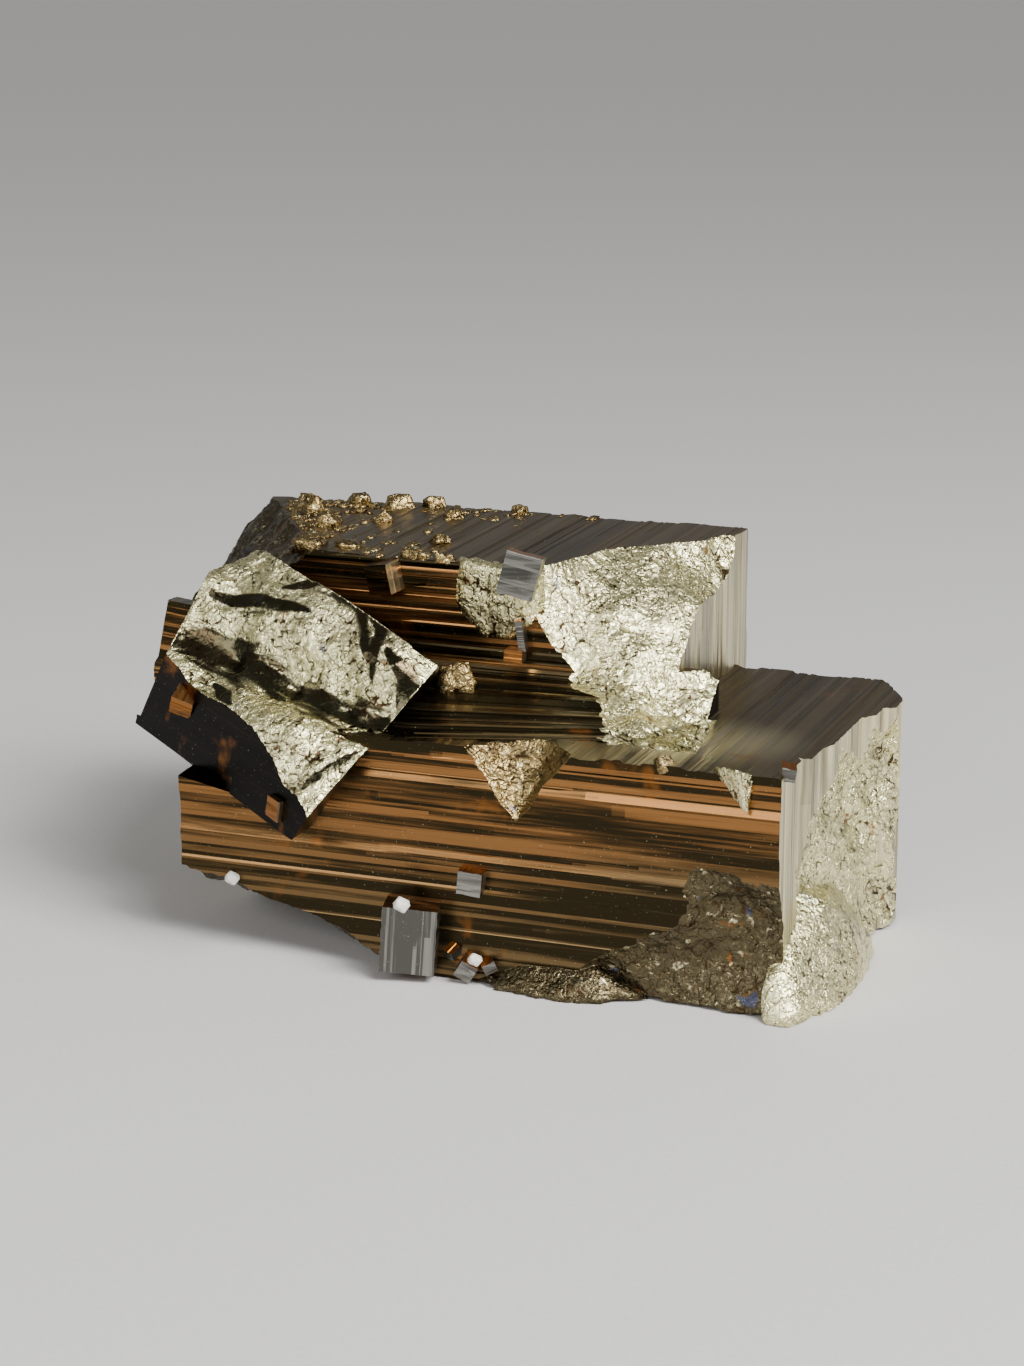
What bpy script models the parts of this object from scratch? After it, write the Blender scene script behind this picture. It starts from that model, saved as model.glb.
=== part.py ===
"""A pyrite cluster: intergrown, striated cubic crystals with broken faces, as one solid.

Lengths are millimetres times MM, so the model is in metres, with +Z up. Places are given from the
lower left front corner of the base crystal, with X along its long edge and Y going back. ORIGIN is
the point, measured the same way, that becomes the frame's origin: it lies under the middle of the
cluster, on the surface that the cluster stands on.
"""

import itertools
import math
import random

import bmesh
import bpy
import numpy as np
from mathutils import Matrix, Vector

MM = 0.001

# The frame's origin, measured from the base crystal's lower left front corner.
ORIGIN = Vector((31.8, 22.46, 0.0)) * MM

# Base crystal: the long lower block.
BASE_LENGTH = 70.0
BASE_DEPTH = 44.0
BASE_HEIGHT = 27.0

# Its right end steps outwards towards the back: places (y, x) of that outline.
BASE_RIGHT_STEPS = ((0.0, 70.0), (8.2, 70.0), (8.6, 69.4), (9.3, 70.7), (14.6, 70.7), (15.4, 71.5),
                    (27.5, 71.5), (29.0, 72.8), (32.4, 72.8), (33.2, 74.0), (37.0, 74.0), (40.2, 72.2),
                    (44.2, 70.2), (46.0, 70.2))

# Upper crystal: the block on top, set back from the base's front.
UPPER_LEFT = -12.0
UPPER_RIGHT = 52.2
UPPER_FRONT = 17.5
UPPER_BACK = 47.6
UPPER_FOOT = 21.0
UPPER_TOP = 43.0

# Apron: low terraces from the upper crystal's front down to the ledge on the base.
APRON_TOP = 31.5
APRON_LEFT = 3.0
APRON_BEND = 26.6
APRON_RIGHT = 56.0
APRON_LEFT_FOOT = 0.6
APRON_RIGHT_FOOT = 10.2
APRON_TERRACES = 5
TERRACE_SPREAD = (0.7, 1.4)
TERRACE_TREAD = 0.72
TERRACE_RISE = 0.06
APRON_ROOT = 6.0
APRON_SINK = 0.15

# Rear growths: parallel crystals behind the base and on its left, out of the front's view.
REAR_GROWTH = ((-3.0, 38.0, -3.0), (38.5, 49.4, 23.0))
LEFT_GROWTH = ((-9.0, 25.0, -3.0), (9.0, 45.6, 30.0))
BACK_STEP = ((41.0, 42.0, -3.0), (63.5, 46.4, 15.5))

# Tilted crystal: a cube grown through the left end with one corner down. Its own frame has its
# corner at TILT_CORNER, X along the low front edge, Y up the broken face and Z out of that face.
TILT_CORNER = Vector((-5.35, 1.93, 27.04))
TILT_ALONG = Vector((0.886, -0.346, -0.310))
TILT_OUT = Vector((-0.0573, -0.7432, 0.6666))
TILT_SIZE = ((-5.5, -2.2, -19.0), (27.6, 23.4, 3.0))
TILT_BEVEL = ((-6.0, 10.2, 3.0), (-6.0, -1.8, -9.0), (30.0, -8.4, -9.0), (30.0, 3.6, 3.0))
TILT_UNDERSIDE = ((-8.0, -0.9, -8.4), (-14.0, 8.5, -25.3), (26.0, 7.8, -18.9), (32.0, -1.6, -2.0))
TILT_CORNER_BEVEL = ((1.9, 0.0, 3.4), (-6.5, 28.8, 3.4), (-17.0, 28.8, -13.6), (-8.6, 0.0, -13.6))
TILT_SIDE_BEVEL = ((28.9, -6.0, 3.0), (17.0, -6.0, -19.0), (17.0, 28.0, -19.0), (28.9, 28.0, 3.0))
TILT_CLEARANCE = ((-6.0, 10.2, 3.0), (-8.0, -0.9, -8.4), (32.0, -1.6, -2.0), (30.0, 3.6, 3.0))
WEDGE_THICKNESS = 18.0

# Striations: the growth bands that are large enough to see as steps, and the rise over run of the
# small slopes between them, which follow the pyritohedral form of the mineral.
BAND_WIDTHS = (1.0, 4.2)
BAND_DEPTH = 0.45
RISER_SLOPE = 0.5
MARGIN = 4.0

# Broken faces: the spacing of their points, and the height and width of their lumps.
FINE_GRAIN = 1.7
COARSE_GRAIN = 2.8
UNDIVIDED = 1000.0
GRAIN_JITTER = 0.3
LUMPS = ((7.0, 0.65), (3.2, 0.6))

# Points that each broken face passes through.
SHOULDER_BREAK = ((33.6, 15.2, 43.2), (36.0, 20.6, 43.2), (39.4, 29.8, 43.2), (42.8, 34.6, 43.2),
                  (48.8, 38.1, 43.2), (52.3, 42.4, 42.8), (52.2, 38.4, 37.2), (52.2, 30.0, 37.4),
                  (52.2, 24.0, 34.6), (52.4, 20.8, 29.7), (53.4, 17.6, 26.8), (54.8, 9.6, 26.6),
                  (48.2, 12.6, 28.3), (41.1, 17.2, 30.2), (38.2, 17.3, 34.4), (34.6, 17.4, 38.2),
                  (43.5, 22.0, 37.6), (47.2, 28.5, 39.4), (47.8, 19.6, 33.9))
TILT_BREAK = ((-3.5, 8.0, 0.1), (-5.0, 16.0, 0.2), (-5.5, 23.4, -5.0), (0.6, 23.4, -0.2),
              (10.0, 23.4, 0.7), (20.0, 23.2, 0.0),
              (27.2, 22.4, -2.4), (27.2, 14.0, -1.8), (26.4, 6.5, -0.8), (26.4, 0.0, -0.2),
              (20.0, 2.6, 0.8), (8.0, 5.0, 0.9), (1.0, 6.4, 0.3),
              (-2.0, 9.4, -0.9), (4.8, 11.0, -2.4), (13.7, 12.1, -3.1), (20.8, 13.6, -2.9),
              (24.6, 15.0, -2.2), (4.0, 17.5, 1.2), (12.0, 17.8, 1.3), (18.5, 19.0, 0.6),
              (23.6, 20.0, 0.4), (12.0, 7.2, 1.3), (19.5, 7.8, 1.4), (24.0, 5.6, 0.9))
SIDE_BREAK = ((73.2, 9.0, 26.0), (71.6, 10.4, 20.0), (70.2, 11.2, 13.0), (70.0, 10.6, 6.0),
              (73.0, 16.0, 25.6), (73.0, 24.0, 25.0), (70.6, 17.0, 19.5), (70.5, 24.0, 20.0),
              (71.6, 28.6, 22.0), (72.0, 31.5, 17.0), (74.6, 34.0, 24.0), (74.6, 34.0, 10.0),
              (71.1, 19.0, 11.0), (71.5, 27.0, 12.0), (72.2, 30.5, 6.0), (71.8, 20.0, 4.0),
              (74.6, 33.8, -1.0), (73.8, 20.0, -2.0), (71.0, 11.0, -2.0))
FRONT_BREAK = ((44.0, -2.6, 0.0), (50.3, 0.0, 6.4), (60.2, 0.0, 9.9), (60.0, 0.1, 14.7), (66.0, 0.0, 15.2),
               (71.5, -0.2, 16.0), (54.0, -3.2, 12.5), (60.0, -3.6, 19.0), (72.0, -3.6, 21.0),
               (63.0, 2.2, 12.2), (68.0, 2.6, 11.0), (56.0, 2.0, 5.0), (64.0, 2.9, 6.0),
               (71.5, 2.4, 6.0), (50.0, 1.1, 0.6), (58.0, 1.0, -1.0), (66.0, 0.4, -1.0),
               (72.0, 0.2, -1.0))
UNDERCUT = ((-2.0, 0.0, 9.6), (8.8, 0.0, 7.5), (14.9, 0.0, 6.4), (19.8, 0.0, 4.1), (25.2, 0.0, 1.5),
            (30.5, 0.0, -1.0), (-2.0, 12.0, 5.0), (8.0, 10.0, 3.6), (-2.0, 24.0, -1.0),
            (12.0, 18.0, -1.0), (22.0, 8.0, -0.6))
BEVEL_BREAK = ((6.8, 21.8, 43.0), (0.0, 32.2, 43.0), (-6.8, 42.6, 43.0), (-12.6, 35.0, 34.0),
               (-12.6, 27.0, 31.6), (-12.6, 18.0, 27.0), (-3.0, 27.0, 38.6))
REAR_BREAK = ((76.0, 39.5, 12.0), (68.0, 44.6, 15.5), (58.0, 44.8, 9.5), (52.0, 44.8, -1.0),
              (76.0, 37.0, -1.0), (66.0, 40.2, 4.0), (70.0, 40.6, 9.0))
REAR_TOP_BREAK = ((-14.0, 43.0, 41.0), (-2.0, 46.2, 43.2), (9.0, 48.0, 43.2), (16.0, 48.2, 40.0),
                  (-14.0, 45.0, 30.0), (2.0, 46.8, 34.0), (-6.0, 45.8, 27.0), (10.0, 48.4, 31.0))
LEFT_BREAK = ((-10.0, 24.0, 19.0), (-10.0, 33.0, 14.0), (-10.0, 40.0, 5.0), (-10.0, 44.0, -1.0),
              (-6.4, 24.0, 8.0), (-6.6, 32.0, 3.0), (-5.0, 26.0, -1.0))

# Rough lumps: corners of each one's rough outline.
TOE = ((69.0, -1.2, -1.0), (72.6, -1.0, -1.0), (75.2, 5.0, -1.0), (76.0, 12.0, -1.0), (75.9, 19.0, -1.0),
       (74.8, 27.0, -1.0), (69.0, 29.0, -1.0), (69.0, 0.6, 4.6), (71.4, 2.0, 5.4), (74.0, 9.0, 4.6),
       (74.2, 16.0, 6.6), (72.6, 12.0, 10.0), (69.0, 10.0, 12.0), (70.0, 24.0, 9.0), (73.2, 23.0, 5.0))
BUTTRESS = ((46.0, 12.0, 25.5), (55.4, 8.4, 25.5), (56.0, 12.5, 25.5), (53.6, 21.0, 25.5),
            (53.8, 18.0, 31.0), (55.0, 12.5, 29.0), (47.0, 20.0, 35.0), (47.0, 14.0, 31.0))
BULGE = ((34.0, 1.5, -1.0), (37.0, -1.2, -1.0), (43.5, -2.6, -1.0), (50.5, -1.8, -1.0), (56.5, 1.5, -1.0),
         (42.0, -1.5, 1.4), (48.0, -1.4, 1.6), (41.5, 1.0, 3.4), (50.0, 1.0, 3.6))
CRUST = ((26.4, 19.0, 43.2), (37.4, 19.0, 43.0), (27.6, 17.2, 43.2), (33.6, 16.6, 42.6), (28.0, 17.0, 38.6),
         (34.4, 16.7, 37.4), (30.0, 17.3, 34.8), (33.0, 17.2, 34.4), (25.6, 18.6, 38.0), (36.6, 18.6, 35.6))
NOTCH = ((33.2, -2.0, 29.0), (33.6, 1.6, 28.6), (36.5, 5.4, 28.4), (42.6, 6.4, 28.4), (47.4, 2.2, 28.6),
         (47.6, -2.0, 28.6), (44.9, -2.0, 24.6), (43.4, -2.0, 20.6), (40.7, -2.0, 17.4), (39.0, -2.0, 20.2),
         (40.7, 0.4, 19.4), (40.2, 3.6, 24.2), (43.0, 3.2, 24.6))
SHARD = ((62.2, 0.6, 27.4), (65.6, -1.5, 27.9), (66.7, -0.5, 22.4), (64.9, 0.8, 24.4), (66.9, 0.8, 26.6))

# Small crystals, as place, edges and turn in degrees about X, Y and Z. Their bevels are a share of
# an edge, and their corners stand out by a share of that bevel.
SMALL_BEVEL = 0.09
CORNER_BULGE = 1.2
SMALL_CRYSTALS = (
    ((35.6, 0.0, 11.8), (2.9, 2.6, 2.8), (4, 6, 5)),
    ((28.3, 0.6, 4.9), (6.2, 7.4, 7.6), (-5, 4, 9)),
    ((35.2, -0.4, 1.6), (2.0, 2.2, 2.4), (20, 30, 15)),
    ((37.5, -0.2, 2.4), (1.5, 2.0, 1.4), (10, -25, 30)),
    ((33.4, -0.2, 3.4), (1.4, 1.6, 1.3), (30, 10, -20)),
    ((34.7, 17.2, 42.1), (4.3, 3.4, 5.0), (-8, 14, 12)),
    ((18.3, 17.2, 40.6), (3.3, 3.2, 3.6), (6, -10, -14)),
    ((34.2, 17.0, 33.0), (2.2, 2.4, 1.5), (0, 3, 4)),
    ((34.9, 17.2, 35.2), (0.9, 1.6, 3.6), (0, -8, 0)),
    ((-7.0, 15.4, 32.6), (3.2, 4.8, 7.0), (-8, 10, 14)),
    ((-1.0, 4.4, 27.3), (2.6, 2.4, 2.6), (30, 20, 10)),
    ((14.4, -4.0, 18.9), (2.2, 1.8, 2.6), (0, 12, -28)),
    ((70.1, 2.4, 27.0), (1.7, 1.9, 1.6), (10, 10, 20)),
    ((47.0, 45.6, 9.0), (7.0, 5.0, 6.0), (6, -8, 14)),
    ((14.0, 48.6, 17.0), (5.0, 4.0, 5.5), (-10, 12, 24)),
    ((-9.4, 34.0, 22.0), (3.4, 5.0, 5.0), (12, 6, 18)),
)

# Pale grains, as place and radius.
GRAINS = (((28.5, -3.0, 9.1), 1.0), ((6.7, -0.2, 8.7), 0.85), ((36.2, -0.9, 3.0), 0.8))

# How pebble-shaped lumps are made: the box inside the six points, and its turn.
PEBBLE_BOX = 0.8
PEBBLE_TURN = (20.0, 35.0, 10.0)

# Low lumps on the upper crystal's top and ledges, as place and half width. Their half edges and
# roughness are shares of that half width.
CRUMB_SHAPE = (1.0, 0.85, 0.7)
CRUMB_ROUGHNESS = 0.2
CRUMBS = (((7.4, 20.6, 42.9), 2.0), ((11.9, 21.0, 42.8), 1.5), ((21.0, 19.6, 42.8), 1.7),
          ((25.0, 18.6, 42.6), 1.5), ((20.8, 27.3, 42.8), 1.3), ((4.2, 32.6, 42.7), 1.9),
          ((9.8, 35.4, 42.8), 1.6), ((-1.6, 40.2, 42.6), 2.2), ((8.5, 44.2, 42.7), 2.1),
          ((12.6, 46.2, 42.5), 1.8), ((17.0, 41.4, 42.8), 1.4), ((3.0, 45.2, 42.4), 2.0),
          ((23.4, 46.6, 42.6), 1.3), ((28.2, 13.4, 30.2), 2.4), ((57.0, 1.0, 26.8), 1.1))

# The block of room below the surface that the cluster stands on, as middle and edges.
STAND = ((32.0, 22.0, -15.0), (160.0, 120.0, 30.0))

PYRITE_COLOUR = (0.55, 0.43, 0.24, 1.0)


def noise(points, cell, seed):
    """Smooth noise from -1 to 1: a repeatable number at each lattice corner, blended in between."""
    scaled = points / cell
    low = np.floor(scaled)
    blend = scaled - low
    blend = blend * blend * (3.0 - 2.0 * blend)
    total = np.zeros(len(points))
    for corner in itertools.product((0.0, 1.0), repeat=3):
        weight = np.prod(np.where(np.array(corner) > 0.5, blend, 1.0 - blend), axis=1)
        mixed = np.sin((low + corner) @ np.array((12.9898, 78.233, 37.719)) + 17.13 * seed) * 43758.5453
        total += weight * (mixed - np.floor(mixed))
    return 2.0 * total - 1.0


def lumps(points, seed):
    """The height of a broken face's lumps at each point, in millimetres."""
    return sum(height * noise(points, width, seed + width) for width, height in LUMPS)


def add_object(name, vertices, faces):
    """Link a new mesh object whose vertices are in millimetres from the base crystal's corner."""
    mesh = bpy.data.meshes.new(name)
    mesh.from_pydata([tuple(Vector(vertex) * MM) for vertex in vertices], [], faces)
    shape = bpy.data.objects.new(name, mesh)
    bpy.context.scene.collection.objects.link(shape)
    work = bmesh.new()
    work.from_mesh(mesh)
    bmesh.ops.recalc_face_normals(work, faces=work.faces)
    work.to_mesh(mesh)
    work.free()
    return shape


def combine(target, tool, operation):
    """Unite the target with a tool, cut it by the tool, or keep what both share."""
    modifier = target.modifiers.new(tool.name, "BOOLEAN")
    modifier.operation = operation
    modifier.solver = "EXACT"
    modifier.object = tool
    tool.hide_render = True
    tool.display_type = "WIRE"


def banded_line(start, end, bands):
    """Places along a striated side, each with its depth: level bands with short slopes between."""
    place = start
    depth = 0.0
    line = [(place, depth)]
    while place < end - BAND_WIDTHS[1] - BAND_DEPTH / RISER_SLOPE:
        place += bands.uniform(*BAND_WIDTHS)
        line.append((place, depth))
        new_depth = bands.uniform(0.0, BAND_DEPTH)
        place += abs(new_depth - depth) / RISER_SLOPE + 0.02
        depth = new_depth
        line.append((place, depth))
    line.append((end, depth))
    return line


def striated_slab(name, low, high, across, bands, steps=None):
    """A slab whose two faces, across one axis, are banded along the next axis and run on the third."""
    along = (across + 1) % 3
    run = (across + 2) % 3
    ends = (low[along] - MARGIN, high[along] + MARGIN)
    near = [(place, low[across] + depth) for place, depth in banded_line(*ends, bands)]
    far = [(place, high[across] - depth) for place, depth in banded_line(*ends, bands)]
    if steps:
        far = [(place, level) for place, level in far if place < steps[0][0] or place > steps[-1][0]]
        far = sorted(far + list(steps))
    outline = near + far[::-1]
    vertices = []
    for end in (low[run] - MARGIN, high[run] + MARGIN):
        for place, level in outline:
            vertex = [0.0, 0.0, 0.0]
            vertex[across] = level
            vertex[along] = place
            vertex[run] = end
            vertices.append(vertex)
    count = len(outline)
    faces = [(i, (i + 1) % count, count + (i + 1) % count, count + i) for i in range(count)]
    faces += [tuple(range(count)), tuple(range(count, 2 * count))]
    return add_object(name, vertices, faces)


def crystal(name, low, high, seed, steps=None):
    """A cube-like crystal: what three striated slabs share, with bands that turn from face to face."""
    bands = random.Random(seed)
    across_y = striated_slab(name, low, high, 1, bands)
    across_x = striated_slab(name + "_ends", low, high, 0, bands, steps)
    across_z = striated_slab(name + "_top", low, high, 2, bands)
    combine(across_y, across_x, "INTERSECT")
    combine(across_y, across_z, "INTERSECT")
    return across_y


def surface_through(points):
    """A function of places on a plane that gives the height of a surface through all the points.

    The height is a level plane plus a cone of distance from each point, with weights that are
    solved so that the sum meets every point.
    """
    places = points[:, :2]
    gaps = np.linalg.norm(places[:, None] - places[None], axis=2)
    level = np.column_stack((np.ones(len(points)), places))
    system = np.block([[gaps, level], [level.T, np.zeros((3, 3))]])
    weights = np.linalg.solve(system, np.append(points[:, 2], np.zeros(3)))

    def height(where):
        reach = np.linalg.norm(where[:, None] - places[None], axis=2)
        return reach @ weights[:-3] + np.column_stack((np.ones(len(where)), where)) @ weights[-3:]

    return height


def break_frame(points, outward):
    """The middle of a set of points, and three axes: two in their flattest plane and one outward."""
    middle = points.mean(axis=0)
    axes = np.linalg.svd(points - middle)[2]
    if axes[2] @ np.array(outward) < 0.0:
        axes[2] = -axes[2]
    axes[1] = np.cross(axes[2], axes[0])
    return middle, axes


def broken_face(name, points, outward, seed, grain=FINE_GRAIN, spare=3.0, thickness=30.0):
    """A closed cutter for a broken face: its near side is rough and passes through the points."""
    points = np.array(points)
    middle, axes = break_frame(points, outward)
    local = (points - middle) @ axes.T
    height = surface_through(local)
    low = local[:, :2].min(axis=0) - spare
    high = local[:, :2].max(axis=0) + spare
    columns, rows = (int(math.ceil(side / grain)) + 1 for side in high - low)
    grid = np.stack(np.meshgrid(np.linspace(low[0], high[0], columns),
                                np.linspace(low[1], high[1], rows), indexing="ij"), axis=-1)
    jitter = random.Random(seed)
    inner = grid[1:-1, 1:-1]
    shifts = [jitter.uniform(-GRAIN_JITTER, GRAIN_JITTER) * grain for _ in range(inner.size)]
    inner += np.array(shifts).reshape(inner.shape)
    flat = grid.reshape(-1, 2)
    flat = np.column_stack((flat, height(flat)))
    near = middle + flat @ axes
    near = near + lumps(near, seed)[:, None] * axes[2]
    index = np.arange(columns * rows).reshape(columns, rows)
    ring = np.concatenate((index[:-1, 0], index[-1, :-1], index[:0:-1, -1], index[0, :0:-1]))
    top = flat[ring].copy()
    top[:, 2] = thickness
    far = middle + top @ axes
    corners = (index[:-1, :-1], index[1:, :-1], index[1:, 1:], index[:-1, 1:])
    quads = np.stack(corners, axis=-1).reshape(-1, 4)
    faces = [tuple(quad) for quad in quads[:, (0, 1, 2)]]
    faces += [tuple(quad) for quad in quads[:, (0, 2, 3)]]
    first = columns * rows
    count = len(ring)
    faces += [(ring[i], ring[(i + 1) % count], first + (i + 1) % count, first + i) for i in range(count)]
    faces.append(tuple(range(first, first + count)))
    faces = [tuple(int(corner) for corner in face) for face in faces]
    return add_object(name, np.concatenate((near, far)), faces)


def rough_lump(name, corners, grain, amount, seed):
    """A closed rough lump: the hull of its corners, divided to the grain and shaken by noise."""
    work = bmesh.new()
    for corner in corners:
        work.verts.new(corner)
    bmesh.ops.convex_hull(work, input=work.verts)
    bmesh.ops.delete(work, geom=[vertex for vertex in work.verts if not vertex.link_faces], context="VERTS")
    longest = max(edge.calc_length() for edge in work.edges)
    for _ in range(math.ceil(math.log2(max(longest / grain, 1.0)))):
        long_edges = [edge for edge in work.edges if edge.calc_length() > grain]
        bmesh.ops.subdivide_edges(work, edges=long_edges, cuts=1, use_grid_fill=True)
        bmesh.ops.triangulate(work, faces=work.faces)
    places = np.array([vertex.co for vertex in work.verts])
    shake = [noise(places, 2.5 * grain, seed + axis) + 0.6 * noise(places, 1.2 * grain, seed + axis + 9)
             for axis in range(3)]
    places = places + amount * np.stack(shake, axis=1)
    work.verts.index_update()
    faces = [tuple(vertex.index for vertex in face.verts) for face in work.faces]
    work.free()
    return add_object(name, places, faces)


def box_corners(place, edges, turn):
    """The eight corners of a box, turned about its middle."""
    turned = Matrix.Rotation(math.radians(turn[2]), 3, "Z") @ Matrix.Rotation(math.radians(turn[1]), 3, "Y")
    turned = turned @ Matrix.Rotation(math.radians(turn[0]), 3, "X")
    signs = itertools.product((-0.5, 0.5), repeat=3)
    return [Vector(place) + turned @ Vector([sign * edge for sign, edge in zip(corner, edges)])
            for corner in signs]


def small_crystal(name, place, edges, turn):
    """A small cube-like crystal with narrow bevels."""
    inner = 1.0 - 2.0 * SMALL_BEVEL
    corners = []
    for middle in box_corners(place, [edge * inner for edge in edges], turn):
        corners.append(middle + (middle - Vector(place)) * SMALL_BEVEL * CORNER_BULGE)
    for axis in range(3):
        stretch = [edge * (1.0 if index == axis else inner) for index, edge in enumerate(edges)]
        corners += box_corners(place, stretch, turn)
    return rough_lump(name, corners, UNDIVIDED, 0.0, 0)


def pebble_corners(place, halves, turn):
    """The corners of a pebble: a turned box, and six points a little farther out on the axes."""
    corners = box_corners(place, [2.0 * PEBBLE_BOX * half for half in halves], turn)
    for axis in range(3):
        for side in (-1.0, 1.0):
            point = Vector(place)
            point[axis] += side * halves[axis]
            corners.append(point)
    return corners


def wedge(name, outline):
    """A flat-sided cutter: a four-cornered plane, carried outwards over the wedges' thickness."""
    corners = [Vector(corner) for corner in outline]
    outward = (corners[1] - corners[0]).cross(corners[3] - corners[0]).normalized() * WEDGE_THICKNESS
    return rough_lump(name, corners + [corner + outward for corner in corners], UNDIVIDED, 0.0, 0)


def build_apron():
    """The terraces: one stepped profile, lofted from a wide foot on the left to a narrow one."""
    steps = random.Random(5)
    shares = [0.0]
    for _ in range(APRON_TERRACES):
        shares.append(shares[-1] + steps.uniform(*TERRACE_SPREAD))
    shares = [share / shares[-1] for share in shares]
    rise = APRON_TOP - BASE_HEIGHT
    profile = []
    for before, after in zip(shares, shares[1:]):
        level = rise * before * (1.0 - 1.5 * TERRACE_RISE)
        profile.append((before, level))
        profile.append((before + TERRACE_TREAD * (after - before), level + rise * TERRACE_RISE))
    profile.append((1.0, rise))
    sections = ((APRON_LEFT, APRON_LEFT_FOOT), (APRON_BEND, APRON_LEFT_FOOT),
                (APRON_RIGHT, APRON_RIGHT_FOOT))
    vertices = []
    for x, foot in sections:
        depth = UPPER_FRONT - foot
        vertices += [(x, foot + share * depth, BASE_HEIGHT - APRON_SINK + height)
                     for share, height in profile]
        vertices += [(x, UPPER_FRONT + APRON_ROOT, APRON_TOP),
                     (x, UPPER_FRONT + APRON_ROOT, BASE_HEIGHT - APRON_ROOT),
                     (x, foot, BASE_HEIGHT - APRON_ROOT)]
    count = len(profile) + 3
    faces = []
    for section in range(len(sections) - 1):
        first = section * count
        faces += [(first + i, first + (i + 1) % count, first + count + (i + 1) % count, first + count + i)
                  for i in range(count)]
    faces += [tuple(range(count)), tuple(range(2 * count, 3 * count))]
    return add_object("apron", vertices, faces)


def build_tilted_crystal():
    """The tilted cube and two cutters: the room in front of its lower bevel, and its broken face.

    All three are made in the tilted crystal's own frame and then turned.
    """
    tilted = crystal("tilted_crystal", *TILT_SIZE, seed=31)
    for name, corners in (("tilt_bevel", TILT_BEVEL), ("tilt_corner_bevel", TILT_CORNER_BEVEL),
                          ("tilt_underside", TILT_UNDERSIDE), ("tilt_side_bevel", TILT_SIDE_BEVEL)):
        combine(tilted, wedge(name, corners), "DIFFERENCE")
    clearance = wedge("tilt_clearance", TILT_CLEARANCE)
    broken = broken_face("tilt_break", TILT_BREAK, (0.0, 0.0, 1.0), 41, spare=1.0)
    up = TILT_OUT.cross(TILT_ALONG).normalized()
    turn = Matrix((TILT_ALONG, up, TILT_OUT)).transposed().to_4x4()
    for piece in [tilted, clearance, broken] + [modifier.object for modifier in tilted.modifiers]:
        piece.matrix_world = Matrix.Translation(TILT_CORNER * MM) @ turn
    return tilted, clearance, broken


def build_growths():
    """The crystals and lumps that are joined to the base crystal, large ones first."""
    growths = [crystal("upper_crystal", (UPPER_LEFT, UPPER_FRONT, UPPER_FOOT),
                       (UPPER_RIGHT, UPPER_BACK, UPPER_TOP), seed=12)]
    combine(growths[0], rough_lump("buttress", BUTTRESS, 3.0, 0.3, 3), "UNION")
    growths += [crystal("rear_growth", *REAR_GROWTH, seed=13), crystal("left_growth", *LEFT_GROWTH, seed=14),
                crystal("back_step", *BACK_STEP, seed=15)]
    growths.append(build_apron())
    return growths


def build_breaks():
    """The cutters of the broken faces on the joined crystals."""
    return [broken_face("shoulder_break", SHOULDER_BREAK, (0.5, -0.3, 0.8), 51),
            broken_face("side_break", SIDE_BREAK, (1.0, 0.0, 0.0), 52, spare=0.6),
            broken_face("front_break", FRONT_BREAK, (0.0, -1.0, 0.0), 53, spare=1.5),
            broken_face("undercut", UNDERCUT, (-0.4, -0.5, -0.8), 54, COARSE_GRAIN),
            broken_face("bevel_break", BEVEL_BREAK, (-0.5, -0.4, 0.7), 55, COARSE_GRAIN, spare=10.0),
            broken_face("rear_break", REAR_BREAK, (0.3, 1.0, 0.0), 56, COARSE_GRAIN),
            broken_face("rear_top_break", REAR_TOP_BREAK, (-0.2, 1.0, 0.2), 57, COARSE_GRAIN),
            broken_face("left_break", LEFT_BREAK, (-1.0, 0.0, -0.3), 58, COARSE_GRAIN),
            rough_lump("notch", NOTCH, FINE_GRAIN, 0.45, 59)]


def build_details():
    """The lumps, small crystals, grains and crumbs that sit on the faces after the breaks."""
    details = [rough_lump("toe", TOE, COARSE_GRAIN, 0.4, 61),
               rough_lump("bulge", BULGE, COARSE_GRAIN, 0.3, 62),
               rough_lump("crust", CRUST, FINE_GRAIN, 0.5, 63),
               rough_lump("shard", SHARD, UNDIVIDED, 0.0, 64)]
    details += [small_crystal(f"small_crystal_{number}", *sizes)
                for number, sizes in enumerate(SMALL_CRYSTALS)]
    for number, (place, radius) in enumerate(GRAINS):
        corners = pebble_corners(place, (radius, radius, radius), PEBBLE_TURN)
        details.append(rough_lump(f"grain_{number}", corners, UNDIVIDED, 0.0, 0))
    for number, (place, half) in enumerate(CRUMBS):
        halves = [share * half for share in CRUMB_SHAPE]
        corners = pebble_corners(place, halves, (10.0, 8.0 * number, 37.0 * number))
        details.append(rough_lump(f"crumb_{number}", corners, UNDIVIDED, CRUMB_ROUGHNESS * half, 70 + number))
    return details


def pyrite_material():
    """Brassy metal, tarnished in places."""
    material = bpy.data.materials.new("pyrite")
    material.use_nodes = True
    shader = material.node_tree.nodes["Principled BSDF"]
    shader.inputs["Base Color"].default_value = PYRITE_COLOUR
    shader.inputs["Metallic"].default_value = 1.0
    shader.inputs["Roughness"].default_value = 0.35
    return material


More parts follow.
